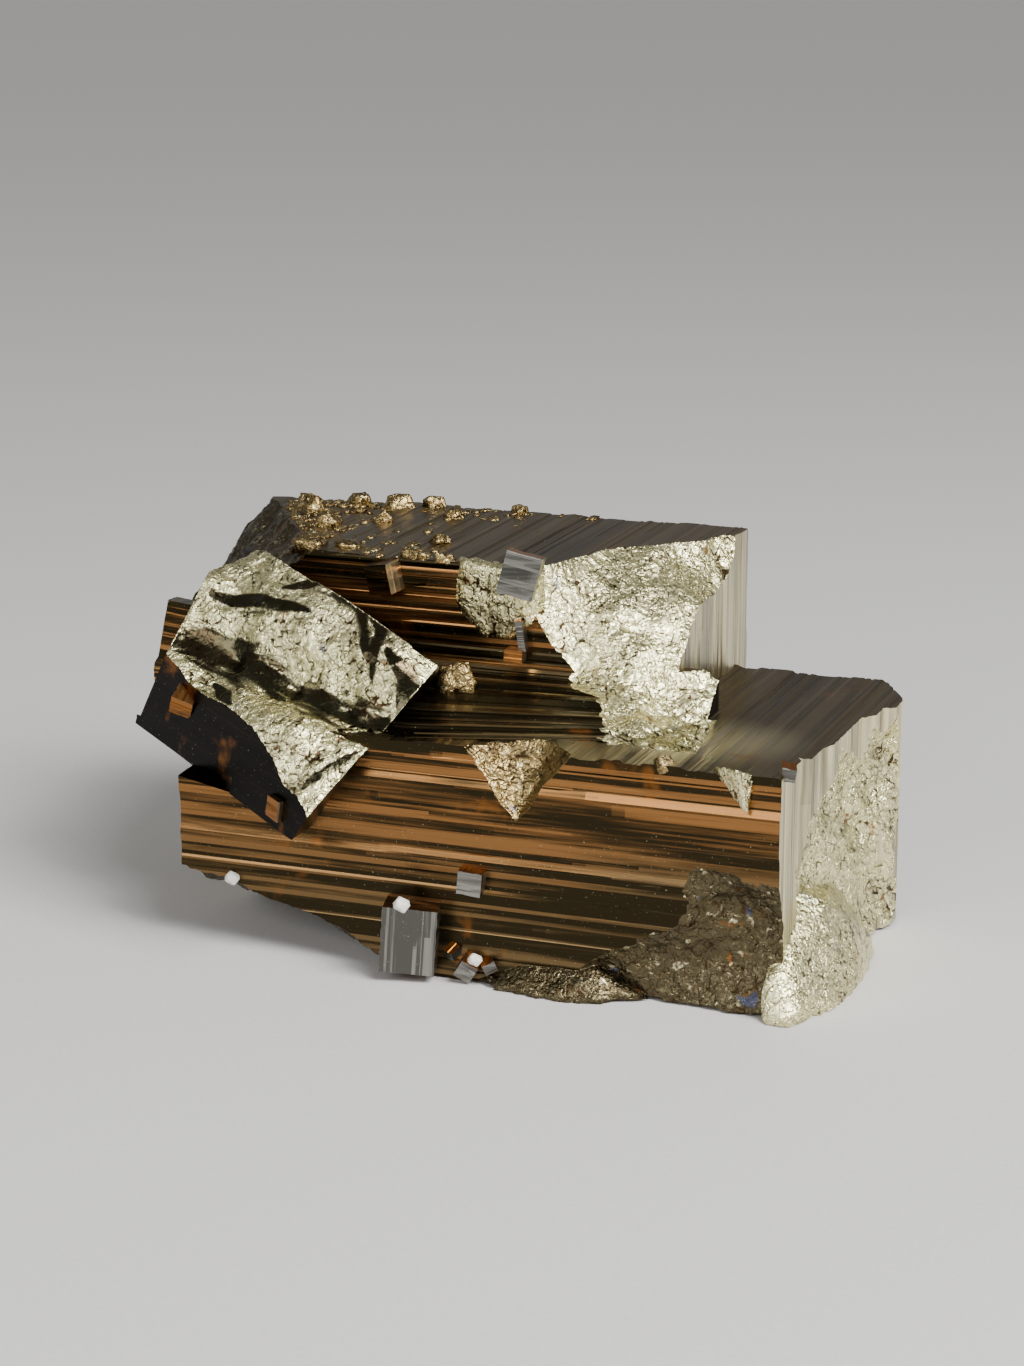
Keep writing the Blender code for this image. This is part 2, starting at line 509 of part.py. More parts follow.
def main():
    """Build the cluster as one solid, with the frame's origin under its middle."""
    for leftover in list(bpy.data.objects):
        bpy.data.objects.remove(leftover, do_unlink=True)
    cluster = crystal("pyrite_cluster", (0.0, 0.0, -3.0), (BASE_LENGTH, BASE_DEPTH, BASE_HEIGHT),
                      seed=11, steps=BASE_RIGHT_STEPS)
    for growth in build_growths():
        combine(cluster, growth, "UNION")
    for cutter in build_breaks():
        combine(cluster, cutter, "DIFFERENCE")
    tilted, clearance, broken = build_tilted_crystal()
    combine(cluster, clearance, "DIFFERENCE")
    combine(cluster, tilted, "UNION")
    combine(cluster, broken, "DIFFERENCE")
    for detail in build_details():
        combine(cluster, detail, "UNION")
    stand = rough_lump("stand", box_corners(*STAND, (0.0, 0.0, 0.0)), UNDIVIDED, 0.0, 0)
    combine(cluster, stand, "DIFFERENCE")
    for shape in bpy.data.objects:
        shape.matrix_world = Matrix.Translation(-ORIGIN) @ shape.matrix_world
    cluster.data.materials.append(pyrite_material())


main()
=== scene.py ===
"""The finished look of a pyrite cluster: striated crystals with bright broken faces, in soft light.

Shapes are worked out in millimetres from the base crystal's lower left front corner, with X along
its long edge, Y going back and Z up. finish_piece() then puts them where the frame's solid is.
"""

import itertools
import math
import random
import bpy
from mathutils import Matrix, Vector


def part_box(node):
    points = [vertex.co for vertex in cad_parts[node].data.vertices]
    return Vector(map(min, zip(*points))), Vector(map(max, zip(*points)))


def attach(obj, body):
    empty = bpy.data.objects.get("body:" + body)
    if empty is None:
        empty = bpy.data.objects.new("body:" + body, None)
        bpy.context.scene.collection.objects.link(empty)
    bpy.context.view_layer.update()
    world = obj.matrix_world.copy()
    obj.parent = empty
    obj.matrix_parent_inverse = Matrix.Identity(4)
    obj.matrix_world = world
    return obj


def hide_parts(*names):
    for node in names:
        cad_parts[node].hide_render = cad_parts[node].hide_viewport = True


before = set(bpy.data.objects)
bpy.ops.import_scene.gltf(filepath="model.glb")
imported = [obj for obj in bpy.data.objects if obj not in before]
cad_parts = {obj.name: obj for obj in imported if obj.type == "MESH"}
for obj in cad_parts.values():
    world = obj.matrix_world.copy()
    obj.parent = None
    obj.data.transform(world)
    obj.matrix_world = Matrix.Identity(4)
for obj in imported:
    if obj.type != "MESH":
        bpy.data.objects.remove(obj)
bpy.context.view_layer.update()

from types import SimpleNamespace

import bpy
import numpy as np
from mathutils import Matrix, Vector

bl_info = {
    "name": "Pyrite cluster",
    "version": (1, 0, 0),
    "blender": (4, 5, 0),
    "location": "3D View > Sidebar > Pyrite",
    "description": "Builds a cluster of striated pyrite crystals with broken faces, and its studio",
    "category": "Add Mesh",
}

MM = 0.001
NODE = "pyrite_cluster"
STRIATED = "striated"
BROKEN = "broken"
DULL = BROKEN + " dull"
BROWN = BROKEN + " brown"
PALE = BROKEN + " grain"
SHADED_TILTED = STRIATED + " tilted"
FLOOR = "studio floor"
BODY = "root"

# How far the cluster reaches past the base crystal's corner, to the left and to the front.
LEFT_REACH = 11.99
FRONT_REACH = 6.81
CORNER = np.array(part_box(NODE)[0]) + np.array((LEFT_REACH, FRONT_REACH, 0.0)) * MM

# The outline (y, x) by which the base crystal's right end steps out towards the back.
BASE_RIGHT_STEPS = ((0.0, 70.0), (8.2, 70.0), (8.6, 69.4), (9.3, 70.7), (14.6, 70.7), (15.4, 71.5),
                    (27.5, 71.5), (29.0, 72.8), (32.4, 72.8), (33.2, 74.0), (37.0, 74.0), (40.2, 72.2),
                    (44.2, 70.2), (46.0, 70.2))

# Height of the ledge on the base crystal, from which the terraces rise.
CORNER_HEIGHT = 27.0

# Upper crystal, as low and high corners.
UPPER_CRYSTAL = ((-12.0, 17.5, 21.0), (52.2, 47.6, 43.0))

# Apron of low terraces between the upper crystal's front and the ledge.
APRON_TOP = 31.5
APRON_LEFT = 3.0
APRON_BEND = 26.6
APRON_RIGHT = 56.0
APRON_LEFT_FOOT = 0.6
APRON_RIGHT_FOOT = 10.2
APRON_TERRACES = 5
TERRACE_SPREAD = (0.7, 1.4)
TERRACE_TREAD = 0.72
TERRACE_RISE = 0.06
APRON_ROOT = 6.0
APRON_SINK = 0.15

# Crystals at the back and the left, as low and high corners.
REAR_GROWTH = ((-3.0, 38.0, 0.0), (38.5, 49.4, 23.0))
LEFT_GROWTH = ((-9.0, 25.0, 0.0), (9.0, 45.6, 30.0))
BACK_STEP = ((41.0, 42.0, 0.0), (63.5, 46.4, 15.5))

# Tilted crystal, in its own frame: X along its low front edge, Y up its broken face, Z out of it.
TILT_CORNER = np.array((-5.35, 1.93, 27.04))
TILT_ALONG = np.array((0.886, -0.346, -0.310))
TILT_OUT = np.array((-0.0573, -0.7432, 0.6666))
TILT_SIZE = ((-5.5, -2.2, -19.0), (27.6, 23.4, 3.0))
TILT_BEVEL = ((-6.0, 10.2, 3.0), (-6.0, -1.8, -9.0), (30.0, -8.4, -9.0), (30.0, 3.6, 3.0))
TILT_UNDERSIDE = ((-8.0, -0.9, -8.4), (-14.0, 8.5, -25.3), (26.0, 7.8, -18.9), (32.0, -1.6, -2.0))
TILT_CORNER_BEVEL = ((1.9, 0.0, 3.4), (-6.5, 28.8, 3.4), (-17.0, 28.8, -13.6), (-8.6, 0.0, -13.6))
TILT_SIDE_BEVEL = ((28.9, -6.0, 3.0), (17.0, -6.0, -19.0), (17.0, 28.0, -19.0), (28.9, 28.0, 3.0))
TILT_CLEARANCE = ((-6.0, 10.2, 3.0), (-8.0, -0.9, -8.4), (32.0, -1.6, -2.0), (30.0, 3.6, 3.0))
WEDGE_THICKNESS = 18.0

# How far a cut that another crystal covers lies behind that crystal's face.
COVERED = 0.3

# Smooth sweeps on the tilted crystal's broken face, painted dark as a painted reflection: the bends of
# each one's line and its half width.
SWEEPS = ((((-3.6, 8.0), (0.4, 9.9), (5.1, 10.7), (9.9, 11.1), (16.0, 11.6)), 2.9),
          (((12.0, 11.3), (18.6, 12.3), (23.2, 13.2), (28.5, 15.2)), 2.2),
          (((21.7, 21.0), (26.2, 18.9), (28.6, 14.6)), 1.7),
          (((-2.4, 15.0), (3.6, 17.5), (10.2, 19.6)), 1.25),
          (((4.8, 20.6), (7.5, 23.4), (11.6, 24.0), (15.3, 22.6), (20.3, 18.8)), 1.3),
          (((13.3, 25.4), (19.0, 22.4), (21.6, 17.5)), 1.1),
          (((5.4, 6.9), (10.6, 6.0)), 0.9),
          (((24.6, 3.0), (25.9, 9.9)), 0.7))
SWEEP_ENDS = 0.3
SWEEP_EDGE = (0.3, 1.3)
STREAK_WIDTH = 0.45
STREAK_STRETCH = 0.16
STREAK_DEPTH = 0.6

# Striations: coarse growth bands. The fine bands on top of them are set in the sidebar.
BAND_WIDTHS = (1.0, 4.2)
BAND_DEPTH = 0.45
RISER_SLOPE = 0.5
STEP_GAP = 0.02
MARGIN = 4.0
STATION = 1.5

# Fine bands: how many are drawn for each that fits, the least width and the spread of widths as
# shares of the mean, where they open and how long they stay as shares of the face's run, the length
# in which they rise and fall, and how their tones swing.
BAND_PLENTY = 3.0
BAND_LEAST = 0.2
BAND_SHAPE = 1.3
BAND_SCALE = 0.62
BAND_OPENING = (-0.9, 0.75)
BAND_STAY = (0.3, 1.9)
BAND_RAMP = (0.3, 6.0)
DEPTH_POWER = 1.6
TONE_SWING = 0.35
TONE_SWINGS = 24
BAND_SLOPE = 0.28
BAND_SLOPE_LIMIT = 0.12

# Coarse lumps of the broken faces, as width and height.
LUMPS = ((7.0, 0.65), (3.2, 0.6))

# Weights of a place that turn it into a repeatable number, and how much that number is spread.
HASH_WEIGHTS = np.array((12.9898, 78.233, 37.719))
HASH_TURN = 17.13
HASH_SPREAD = 43758.5453

# Crackled relief, in widths of a cell: how it is swayed, and the octaves as share of a cell, seed
# and weight, with the weight and the size of the leaning cells and the level that is taken off.
SWAY_CELL = 1.9
SWAY_REACH = 0.7
OCTAVES = ((1.0, 0, 1.1), (0.5, 5, 0.6), (0.27, 6, 0.3))
LEAN_CELL = 0.6
LEAN_WEIGHT = 0.8
RELIEF_LEVEL = 0.6
WEAR_CELL = 3.0
STILL_CELL = 3.6
STILL_MOST = 0.7
CALM_CELL = 1.6
CALM_RAGGED = 0.2
CALM_FLAT = 0.85
CREVICE_FILL = 0.5

# Points that each broken face passes through.
SHOULDER_BREAK = ((33.6, 15.2, 43.2), (36.0, 20.6, 43.2), (39.4, 29.8, 43.2), (42.8, 34.6, 43.2),
                  (48.8, 38.1, 43.2), (52.3, 42.4, 42.8), (52.2, 38.4, 37.2), (52.2, 30.0, 37.4),
                  (52.2, 24.0, 34.6), (52.4, 20.8, 29.7), (53.4, 17.6, 26.8), (54.8, 9.6, 26.6),
                  (48.2, 12.6, 28.3), (41.1, 17.2, 30.2), (38.2, 17.3, 34.4), (34.6, 17.4, 38.2),
                  (43.5, 22.0, 37.6), (47.2, 28.5, 39.4), (47.8, 19.6, 33.9))
TILT_BREAK = ((-3.5, 8.0, 0.1), (-5.0, 16.0, 0.2), (-5.5, 23.4, -5.0), (0.6, 23.4, -0.2),
              (10.0, 23.4, 0.7), (20.0, 23.2, 0.0),
              (27.2, 22.4, -2.4), (27.2, 14.0, -1.8), (26.4, 6.5, -0.8), (26.4, 0.0, -0.2),
              (20.0, 2.6, 0.8), (8.0, 5.0, 0.9), (1.0, 6.4, 0.3),
              (-2.0, 9.4, -0.9), (4.8, 11.0, -2.4), (13.7, 12.1, -3.1), (20.8, 13.6, -2.9),
              (24.6, 15.0, -2.2), (4.0, 17.5, 1.2), (12.0, 17.8, 1.3), (18.5, 19.0, 0.6),
              (23.6, 20.0, 0.4), (12.0, 7.2, 1.3), (19.5, 7.8, 1.4), (24.0, 5.6, 0.9))
SIDE_BREAK = ((73.2, 9.0, 26.0), (71.6, 10.4, 20.0), (70.2, 11.2, 13.0), (70.0, 10.6, 6.0),
              (73.0, 16.0, 25.6), (73.0, 24.0, 25.0), (70.6, 17.0, 19.5), (70.5, 24.0, 20.0),
              (71.6, 28.6, 22.0), (72.0, 31.5, 17.0), (74.6, 34.0, 24.0), (74.6, 34.0, 10.0),
              (71.1, 19.0, 11.0), (71.5, 27.0, 12.0), (72.2, 30.5, 6.0), (71.8, 20.0, 4.0),
              (74.6, 33.8, -1.0), (73.8, 20.0, -2.0), (71.0, 11.0, -2.0))
FRONT_BREAK = ((44.0, -2.6, 0.0), (50.3, 0.0, 6.4), (60.2, 0.0, 9.9), (60.0, 0.1, 14.7), (66.0, 0.0, 15.2),
               (71.5, -0.2, 16.0), (54.0, -3.2, 12.5), (60.0, -3.6, 19.0), (72.0, -3.6, 21.0),
               (63.0, 2.2, 12.2), (68.0, 2.6, 11.0), (56.0, 2.0, 5.0), (64.0, 2.9, 6.0),
               (71.5, 2.4, 6.0), (50.0, 1.1, 0.6), (58.0, 1.0, -1.0), (66.0, 0.4, -1.0),
               (72.0, 0.2, -1.0))
UNDERCUT = ((-2.0, 0.0, 9.6), (8.8, 0.0, 7.5), (14.9, 0.0, 6.4), (19.8, 0.0, 4.1), (25.2, 0.0, 1.5),
            (30.5, 0.0, -1.0), (-2.0, 12.0, 5.0), (8.0, 10.0, 3.6), (-2.0, 24.0, -1.0),
            (12.0, 18.0, -1.0), (22.0, 8.0, -0.6))
BEVEL_BREAK = ((6.8, 21.8, 43.0), (0.0, 32.2, 43.0), (-6.8, 42.6, 43.0), (-12.6, 35.0, 34.0),
               (-12.6, 27.0, 31.6), (-12.6, 18.0, 27.0), (-3.0, 27.0, 38.6))
REAR_BREAK = ((76.0, 39.5, 12.0), (68.0, 44.6, 15.5), (58.0, 44.8, 9.5), (52.0, 44.8, -1.0),
              (76.0, 37.0, -1.0), (66.0, 40.2, 4.0), (70.0, 40.6, 9.0))
REAR_TOP_BREAK = ((-14.0, 43.0, 41.0), (-2.0, 46.2, 43.2), (9.0, 48.0, 43.2), (16.0, 48.2, 40.0),
                  (-14.0, 45.0, 30.0), (2.0, 46.8, 34.0), (-6.0, 45.8, 27.0), (10.0, 48.4, 31.0))
LEFT_BREAK = ((-10.0, 24.0, 19.0), (-10.0, 33.0, 14.0), (-10.0, 40.0, 5.0), (-10.0, 44.0, -1.0),
              (-6.4, 24.0, 8.0), (-6.6, 32.0, 3.0), (-5.0, 26.0, -1.0))

# Corners of the rough lumps and of the notch in the front top edge.
TOE = ((69.0, -1.2, 0.0), (72.6, -1.0, 0.0), (75.2, 5.0, 0.0), (76.0, 12.0, 0.0), (75.9, 19.0, 0.0),
       (74.8, 27.0, 0.0), (69.0, 29.0, 0.0), (69.0, 0.6, 4.6), (71.4, 2.0, 5.4), (74.0, 9.0, 4.6),
       (74.2, 16.0, 6.6), (72.6, 12.0, 10.0), (69.0, 10.0, 12.0), (70.0, 24.0, 9.0), (73.2, 23.0, 5.0))
BUTTRESS = ((46.0, 12.0, 25.5), (55.4, 8.4, 25.5), (56.0, 12.5, 25.5), (53.6, 21.0, 25.5),
            (53.8, 18.0, 31.0), (55.0, 12.5, 29.0), (47.0, 20.0, 35.0), (47.0, 14.0, 31.0))
BULGE = ((34.0, 1.5, 0.0), (37.0, -1.2, 0.0), (43.5, -2.6, 0.0), (50.5, -1.8, 0.0), (56.5, 1.5, 0.0),
         (42.0, -1.5, 1.4), (48.0, -1.4, 1.6), (41.5, 1.0, 3.4), (50.0, 1.0, 3.6))
CRUST = ((26.4, 19.0, 43.2), (37.4, 19.0, 43.0), (27.6, 17.2, 43.2), (33.6, 16.6, 42.6), (28.0, 17.0, 38.6),
         (34.4, 16.7, 37.4), (30.0, 17.3, 34.8), (33.0, 17.2, 34.4), (25.6, 18.6, 38.0), (36.6, 18.6, 35.6))
NOTCH = ((33.2, -2.0, 29.0), (33.6, 1.6, 28.6), (36.5, 5.4, 28.4), (42.6, 6.4, 28.4), (47.4, 2.2, 28.6),
         (47.6, -2.0, 28.6), (44.9, -2.0, 24.6), (43.4, -2.0, 20.6), (40.7, -2.0, 17.4), (39.0, -2.0, 20.2),
         (40.7, 0.4, 19.4), (40.2, 3.6, 24.2), (43.0, 3.2, 24.6))
SHARD = ((62.2, 0.6, 27.4), (65.6, -1.5, 27.9), (66.7, -0.5, 22.4), (64.9, 0.8, 24.4), (66.9, 0.8, 26.6))

# How far the side break and the toe are drawn in, so that their fine relief stays within the cluster.
SIDE_SUNK = (0.7, 0.0, 0.0)
TOE_BACK = (0.55, 0.0, 0.0)

# Broken faces, as points, outward direction, seed, coarseness of the grid, room around and finish.
BREAKS = {
    "side_break": (np.array(SIDE_BREAK) - SIDE_SUNK, (1.0, 0.0, 0.0), 52, 1.0, 0.6, BROKEN),
    "front_break": (FRONT_BREAK, (0.0, -1.0, 0.0), 53, 1.2, 1.5, DULL),
    "undercut": (UNDERCUT, (-0.4, -0.5, -0.8), 54, 1.8, 3.0, DULL),
    "rear_break": (REAR_BREAK, (0.3, 1.0, 0.0), 56, 1.8, 3.0, DULL),
    "shoulder_break": (SHOULDER_BREAK, (0.5, -0.3, 0.8), 51, 1.0, 3.0, BROKEN),
    "bevel_break": (BEVEL_BREAK, (-0.5, -0.4, 0.7), 55, 1.6, 10.0, DULL),
    "rear_top_break": (REAR_TOP_BREAK, (-0.2, 1.0, 0.2), 57, 1.8, 3.0, DULL),
    "left_break": (LEFT_BREAK, (-1.0, 0.0, -0.3), 58, 1.8, 3.0, DULL),
}

# Rough lumps and the notch, as corners, seed, points around and finish.
STONES = {
    "notch": (NOTCH, 59, 64, BROWN),
    "toe": (np.array(TOE) - TOE_BACK, 61, 96, BROKEN),
    "bulge": (BULGE, 62, 72, DULL),
    "buttress": (BUTTRESS, 3, 48, BROKEN),
    "crust": (CRUST, 63, 72, BROKEN),
}

# Small crystals, as place, edges and turn in degrees about X, Y and Z: first the stained, the upright
# and the grey ones in front, then those at the back.
SMALL_SCALE = 0.25
SMALL_STRIPES = 2.4
STAINED_CRYSTALS = (
    ((18.3, 17.2, 40.6), (3.3, 3.2, 3.6), (6, -10, -14)),
    ((34.2, 17.0, 33.0), (2.2, 2.4, 1.5), (0, 3, 4)),
    ((-1.0, 4.4, 27.3), (2.6, 2.4, 2.6), (30, 20, 10)),
    ((14.4, -4.0, 18.9), (2.2, 1.8, 2.6), (0, 12, -28)),
)
UPRIGHT_CRYSTALS = (
    ((28.3, 0.6, 4.9), (7.6, 7.4, 6.2), (-5, 94, 9)),
)
GREY_CRYSTALS = (
    ((34.7, 17.2, 42.1), (4.3, 3.4, 5.0), (-8, 14, 12)),
    ((35.6, 0.0, 11.8), (2.9, 2.6, 2.8), (4, 6, 5)),
    ((35.2, -0.4, 1.9), (2.0, 2.2, 2.4), (20, 30, 15)),
    ((37.5, -0.2, 2.4), (1.5, 2.0, 1.4), (10, -25, 30)),
    ((33.4, -0.2, 3.4), (1.4, 1.6, 1.3), (30, 10, -20)),
    ((34.9, 17.2, 35.2), (0.9, 1.6, 3.6), (0, -8, 0)),
    ((70.1, 2.4, 27.0), (1.7, 1.9, 1.6), (10, 10, 20)),
)
BACK_CRYSTALS = (
    ((47.0, 45.6, 9.0), (7.0, 5.0, 6.0), (6, -8, 14)),
    ((14.0, 48.4, 17.0), (5.0, 4.0, 5.5), (-10, 12, 24)),
    ((-9.4, 34.0, 22.0), (3.4, 5.0, 5.0), (12, 6, 18)),
    ((-7.0, 15.4, 32.6), (3.2, 4.8, 7.0), (-8, 10, 14)),
)

# Pale grains, as place and radius.
GRAIN_SHAPE = (1.1, 1.0, 0.9)
GRAIN_TURN = (0.0, 20.0, 10.0)
GRAIN_RELIEF = 0.05
GRAIN_ROUGHNESS = 0.12
GRAINS = (((28.5, -3.0, 9.1), 1.0), ((6.7, -0.2, 8.7), 0.85), ((36.2, -0.9, 3.0), 0.8))

# Low lumps on the upper crystal's top and ledges, as place and half width. Their turn is in degrees,
# and its last two parts grow from each lump to the next.
CRUMB_SHAPE = (1.0, 0.85, 0.5)
CRUMB_TURN = (10.0, 8.0, 37.0)
CRUMB_ROUGHNESS = 0.15
SHARD_ROUGHNESS = 0.05
CRUMBS = (((7.4, 20.6, 42.9), 2.0), ((11.9, 21.0, 42.8), 1.5), ((21.0, 19.6, 42.8), 1.7),
          ((25.0, 18.6, 42.6), 1.5), ((20.8, 27.3, 42.8), 1.3), ((4.2, 32.6, 42.7), 1.9),
          ((9.8, 35.4, 42.8), 1.6), ((-1.6, 40.2, 42.6), 2.2), ((8.5, 44.2, 42.7), 2.1),
          ((12.6, 46.2, 42.5), 1.8), ((17.0, 41.4, 42.8), 1.4), ((3.0, 45.2, 42.4), 2.0),
          ((23.4, 46.6, 42.6), 1.3), ((28.2, 13.4, 30.2), 2.4), ((57.0, 1.0, 26.8), 1.1))

# Flakes on the upper crystal's top: how many, their half widths and shape, the corners of the field
# that they are scattered over, and how far they spread in from its edges.
FLAKES = 280
FLAKE_SIZES = (0.2, 0.65)
FLAKE_SHAPE = (1.0, 1.7, 0.45)
FLAKE_LEAN = (5.0, 5.0)
FLAKE_TURN = 25.0
FLAKE_SINK = 0.3
FLAKE_ROUGHNESS = 0.1
FLAKE_FIELD = ((-6.0, 18.0), (34.0, 47.2))
FLAKE_SPREAD = 4.2

# The top's left edge as a place on it and its slope, with the room kept clear beside it, the clear
# line at the rear as its place and slope, and how fast flakes thin out from the rear and the front.
TOP_LEFT_EDGE = (6.8, 21.8, -0.654)
TOP_LEFT_CLEAR = 0.6
TOP_REAR_CLEAR = (45.2, 0.14)
REAR_THINNING = (47.4, 1.2, 0.25)
FRONT_THINNING = (17.6, 2.6, 0.2)

# How pebble-shaped lumps are made: the box inside the six points, which is smaller for round grains.
PEBBLE_BOX = 0.8
ROUND_BOX = 0.62

# The camera: its place from the base crystal's corner, turn and dip in degrees, its lens, and in
# metres how near it still sees.
CAMERA_PLACE = (151.629, -291.674, 116.168)
CAMERA_TURN = 20.906
CAMERA_DIP = 14.680
CAMERA_LENS = 80.06
CAMERA_NEAREST = 0.01

# The studio: half the floor's side in metres, the light from all around, the sun's strength, spread
# in degrees and direction, and the soft lights as name, place, power in watts, width and depth.
FLOOR_HALF = 8.0
SKY_STRENGTH = 0.55
SUN_STRENGTH = 1.6
SUN_SPREAD = 20.0
SUN_PLACE = (0.60, -0.50, 0.85)
LIGHTS = (("key", (0.42, -0.18, 0.42), 6.0, 0.26, 0.26),
          ("front", (-0.22, -0.55, 0.30), 2.0, 0.45, 0.25))


# Where the front is darkened by painted shade, as heights and places to the right in the frame's
# millimetres, and the painted highlight on the base crystal's top, in the frame's metres.
LOWER_PAINTED_SHADE = (4.0, 21.0)
UPPER_PAINTED_SHADE = (17.0, 24.0)
RIGHT_PAINTED_SHADE = (4.0, 26.0)
CORNER_PAINTED_SHADE = (13.0, 20.0)
TOP_PAINTED_HIGHLIGHT = np.array((60.0, 12.0, 27.0)) * MM + CORNER
TOP_HIGHLIGHT_INNER = 1.0 * MM
TOP_HIGHLIGHT_OUTER = 11.0 * MM

# Striated finish: noise as the share of its length kept along the stripes, cells to the millimetre
# and detail, then how tones are weighed and shadowed, and the tones at which each colour is full.
STREAKS = (0.03, 2.2, 3.0)
WIDE_STREAKS = (0.10, 0.24, 2.0)
HAIRS = (0.02, 9.0, 2.0)
TONE_OF_BAND = 0.8
TONE_OF_WIDE = 1.1
LOW_SHADOW = 0.22
CORNER_SHADOW = 0.25
UPPER_SHADOW = 0.2
REAR_DULL = (0.0, 10.0)
BAND_TONES = (-0.05, 0.5)
END_TONES = (-0.3, 0.6)
END_DARK = 0.16
TOP_TONES = (-0.2, 0.6)
TOP_DARK = 0.30
STAIN_CELLS = 0.16
STAIN_START = 0.62
STAIN_END = 0.76
DUST_CELLS = 5.0
DUST_AMOUNT = (0.70, 0.76)
STRIPE_BUMP = 0.06 * MM

# The axes of a crystal that stands on end.
ON_END = np.array(((0.0, 0.0, -1.0), (0.0, 1.0, 0.0), (1.0, 0.0, 0.0)))

# Broken finish: cells to the millimetre of each kind of noise, the values between which it comes in,
# and the veins as cells, width and weight.
SWAY_CELLS = 0.7
SWAY_AMOUNT = 1.6 * MM
TINT_CELLS = 2.3
VEINS = ((0.55, 0.04, 0.9), (1.25, 0.055, 0.75), (2.7, 0.06, 0.3))
MURK_CELLS = 0.22
WARM_CELLS = 0.12
WARM_TINT = (0.94, 0.98, 0.80)
RUST_CELLS = 0.33
RUST_AMOUNT = (0.62, 0.72)
SHEEN_SHIFT = (0.3, 0.1, 0.2)
SHEEN_CELLS = 0.4
SHEEN_AMOUNT = (0.71, 0.76)
REFLECTION_CELLS = 0.25
REFLECTION_AMOUNT = (0.45, 0.62)
BILLOW_CELLS = 1.3
BREAK_BUMP = 0.25 * MM


def length(name, description, default):
    """A length for the sidebar, given in millimetres and kept in metres."""
    return bpy.props.FloatProperty(name=name, description=description, default=default * MM, min=0.0,
                                   precision=4, unit="LENGTH")


def colour(name, description, default):
    """A colour for the sidebar."""
    return bpy.props.FloatVectorProperty(name=name, description=description, default=default, size=3,
                                         min=0.0, max=1.0, subtype="COLOR")


class PyriteSizes(bpy.types.PropertyGroup):
    """Sizes of the cluster that a user would change."""

    base_length: length("Base length", "Long edge of the base crystal", 70.0)
    base_depth: length("Base depth", "Edge of the base crystal that goes back", 44.0)
    base_height: length("Base height", "Upright edge of the base crystal", 27.0)
    stripe_width: length("Stripe width", "Mean width of the fine stripes", 0.42)
    stripe_depth: length("Stripe depth", "Greatest depth of the fine stripes", 0.12)
    cell_width: length("Cell width", "Mean width of the crackled cells on broken faces", 1.35)
    cell_height: length("Cell height", "How far the crackled cells stand out", 0.3)
    grid_step: length("Grid step", "Spacing of the points on broken faces", 0.24)


class PyriteColours(bpy.types.PropertyGroup):
    """Colours of the cluster and its studio."""

    # Striated faces are coloured by the way they face, as painted light: ends bright as if lit from the side,
    # upward faces dark as a dark reflection.
    bronze: colour("Bronze", "Bright bands on the front faces", (0.29, 0.135, 0.044))
    # Tarnish is painted shade: the bands' darker bronze where the front is shaded, also used towards the
    # rear.
    tarnish: colour("Tarnish", "Bright bands low on the front", (0.150, 0.098, 0.044))
    olive: colour("Olive", "Dark bands on the front faces", (0.028, 0.021, 0.010))
    top: colour("Top", "Upward faces", (0.18, 0.130, 0.064))
    beige: colour("Beige", "Faces at the right and left ends", (0.78, 0.70, 0.45))
    brass: colour("Brass", "Bright broken faces", (0.98, 0.90, 0.55))
    brown: colour("Brown", "Brown crusts and crumbs", (0.36, 0.26, 0.12))
    dull: colour("Dull", "Dull broken faces", (0.11, 0.088, 0.052))
    # Shade is painted shade: the tilted crystal's striated sides painted near black as shade and dark
    # reflection.
    shade: colour("Shade", "Dark glossy sides of the tilted crystal", (0.016, 0.011, 0.007))
    silver: colour("Silver", "Small grey crystals", (0.30, 0.29, 0.26))
    crack: colour("Crack", "Cracks in the broken faces", (0.050, 0.030, 0.014))
    # The two colours below are painted reflection: the dark sweeps on the broken faces.
    umber: colour("Umber", "Brown parts of the dark sweeps", (0.034, 0.021, 0.011))
    dark_reflection: colour("Hollow", "Smooth dark sweeps on the broken faces", (0.030, 0.028, 0.016))
    rust: colour("Rust", "Rusty stains", (0.36, 0.13, 0.025))
    sheen: colour("Sheen", "Blue tarnish", (0.07, 0.11, 0.26))
    grain: colour("Grain", "Pale grains of another mineral", (0.78, 0.76, 0.68))
    floor: colour("Floor", "The studio's floor", (0.62, 0.61, 0.60))
    sky: colour("Sky", "Light from all around", (0.46, 0.45, 0.43))


def hashed(cells, seed):
    """A repeatable number from 0 to 1 for each whole-number cell: the fraction of a large sine."""
    mixed = np.sin(cells @ HASH_WEIGHTS + HASH_TURN * seed) * HASH_SPREAD
    return mixed - np.floor(mixed)


def noise(points, cell, seed):
    """Smooth noise from -1 to 1: hashed numbers at lattice corners, blended in between."""
    scaled = points / cell
    low = np.floor(scaled)
    blend = scaled - low
    blend = blend * blend * (3.0 - 2.0 * blend)
    total = np.zeros(len(points))
    for corner in itertools.product((0.0, 1.0), repeat=3):
        weight = np.prod(np.where(np.array(corner) > 0.5, blend, 1.0 - blend), axis=1)
        total += weight * hashed(low + corner, seed)
    return 2.0 * total - 1.0


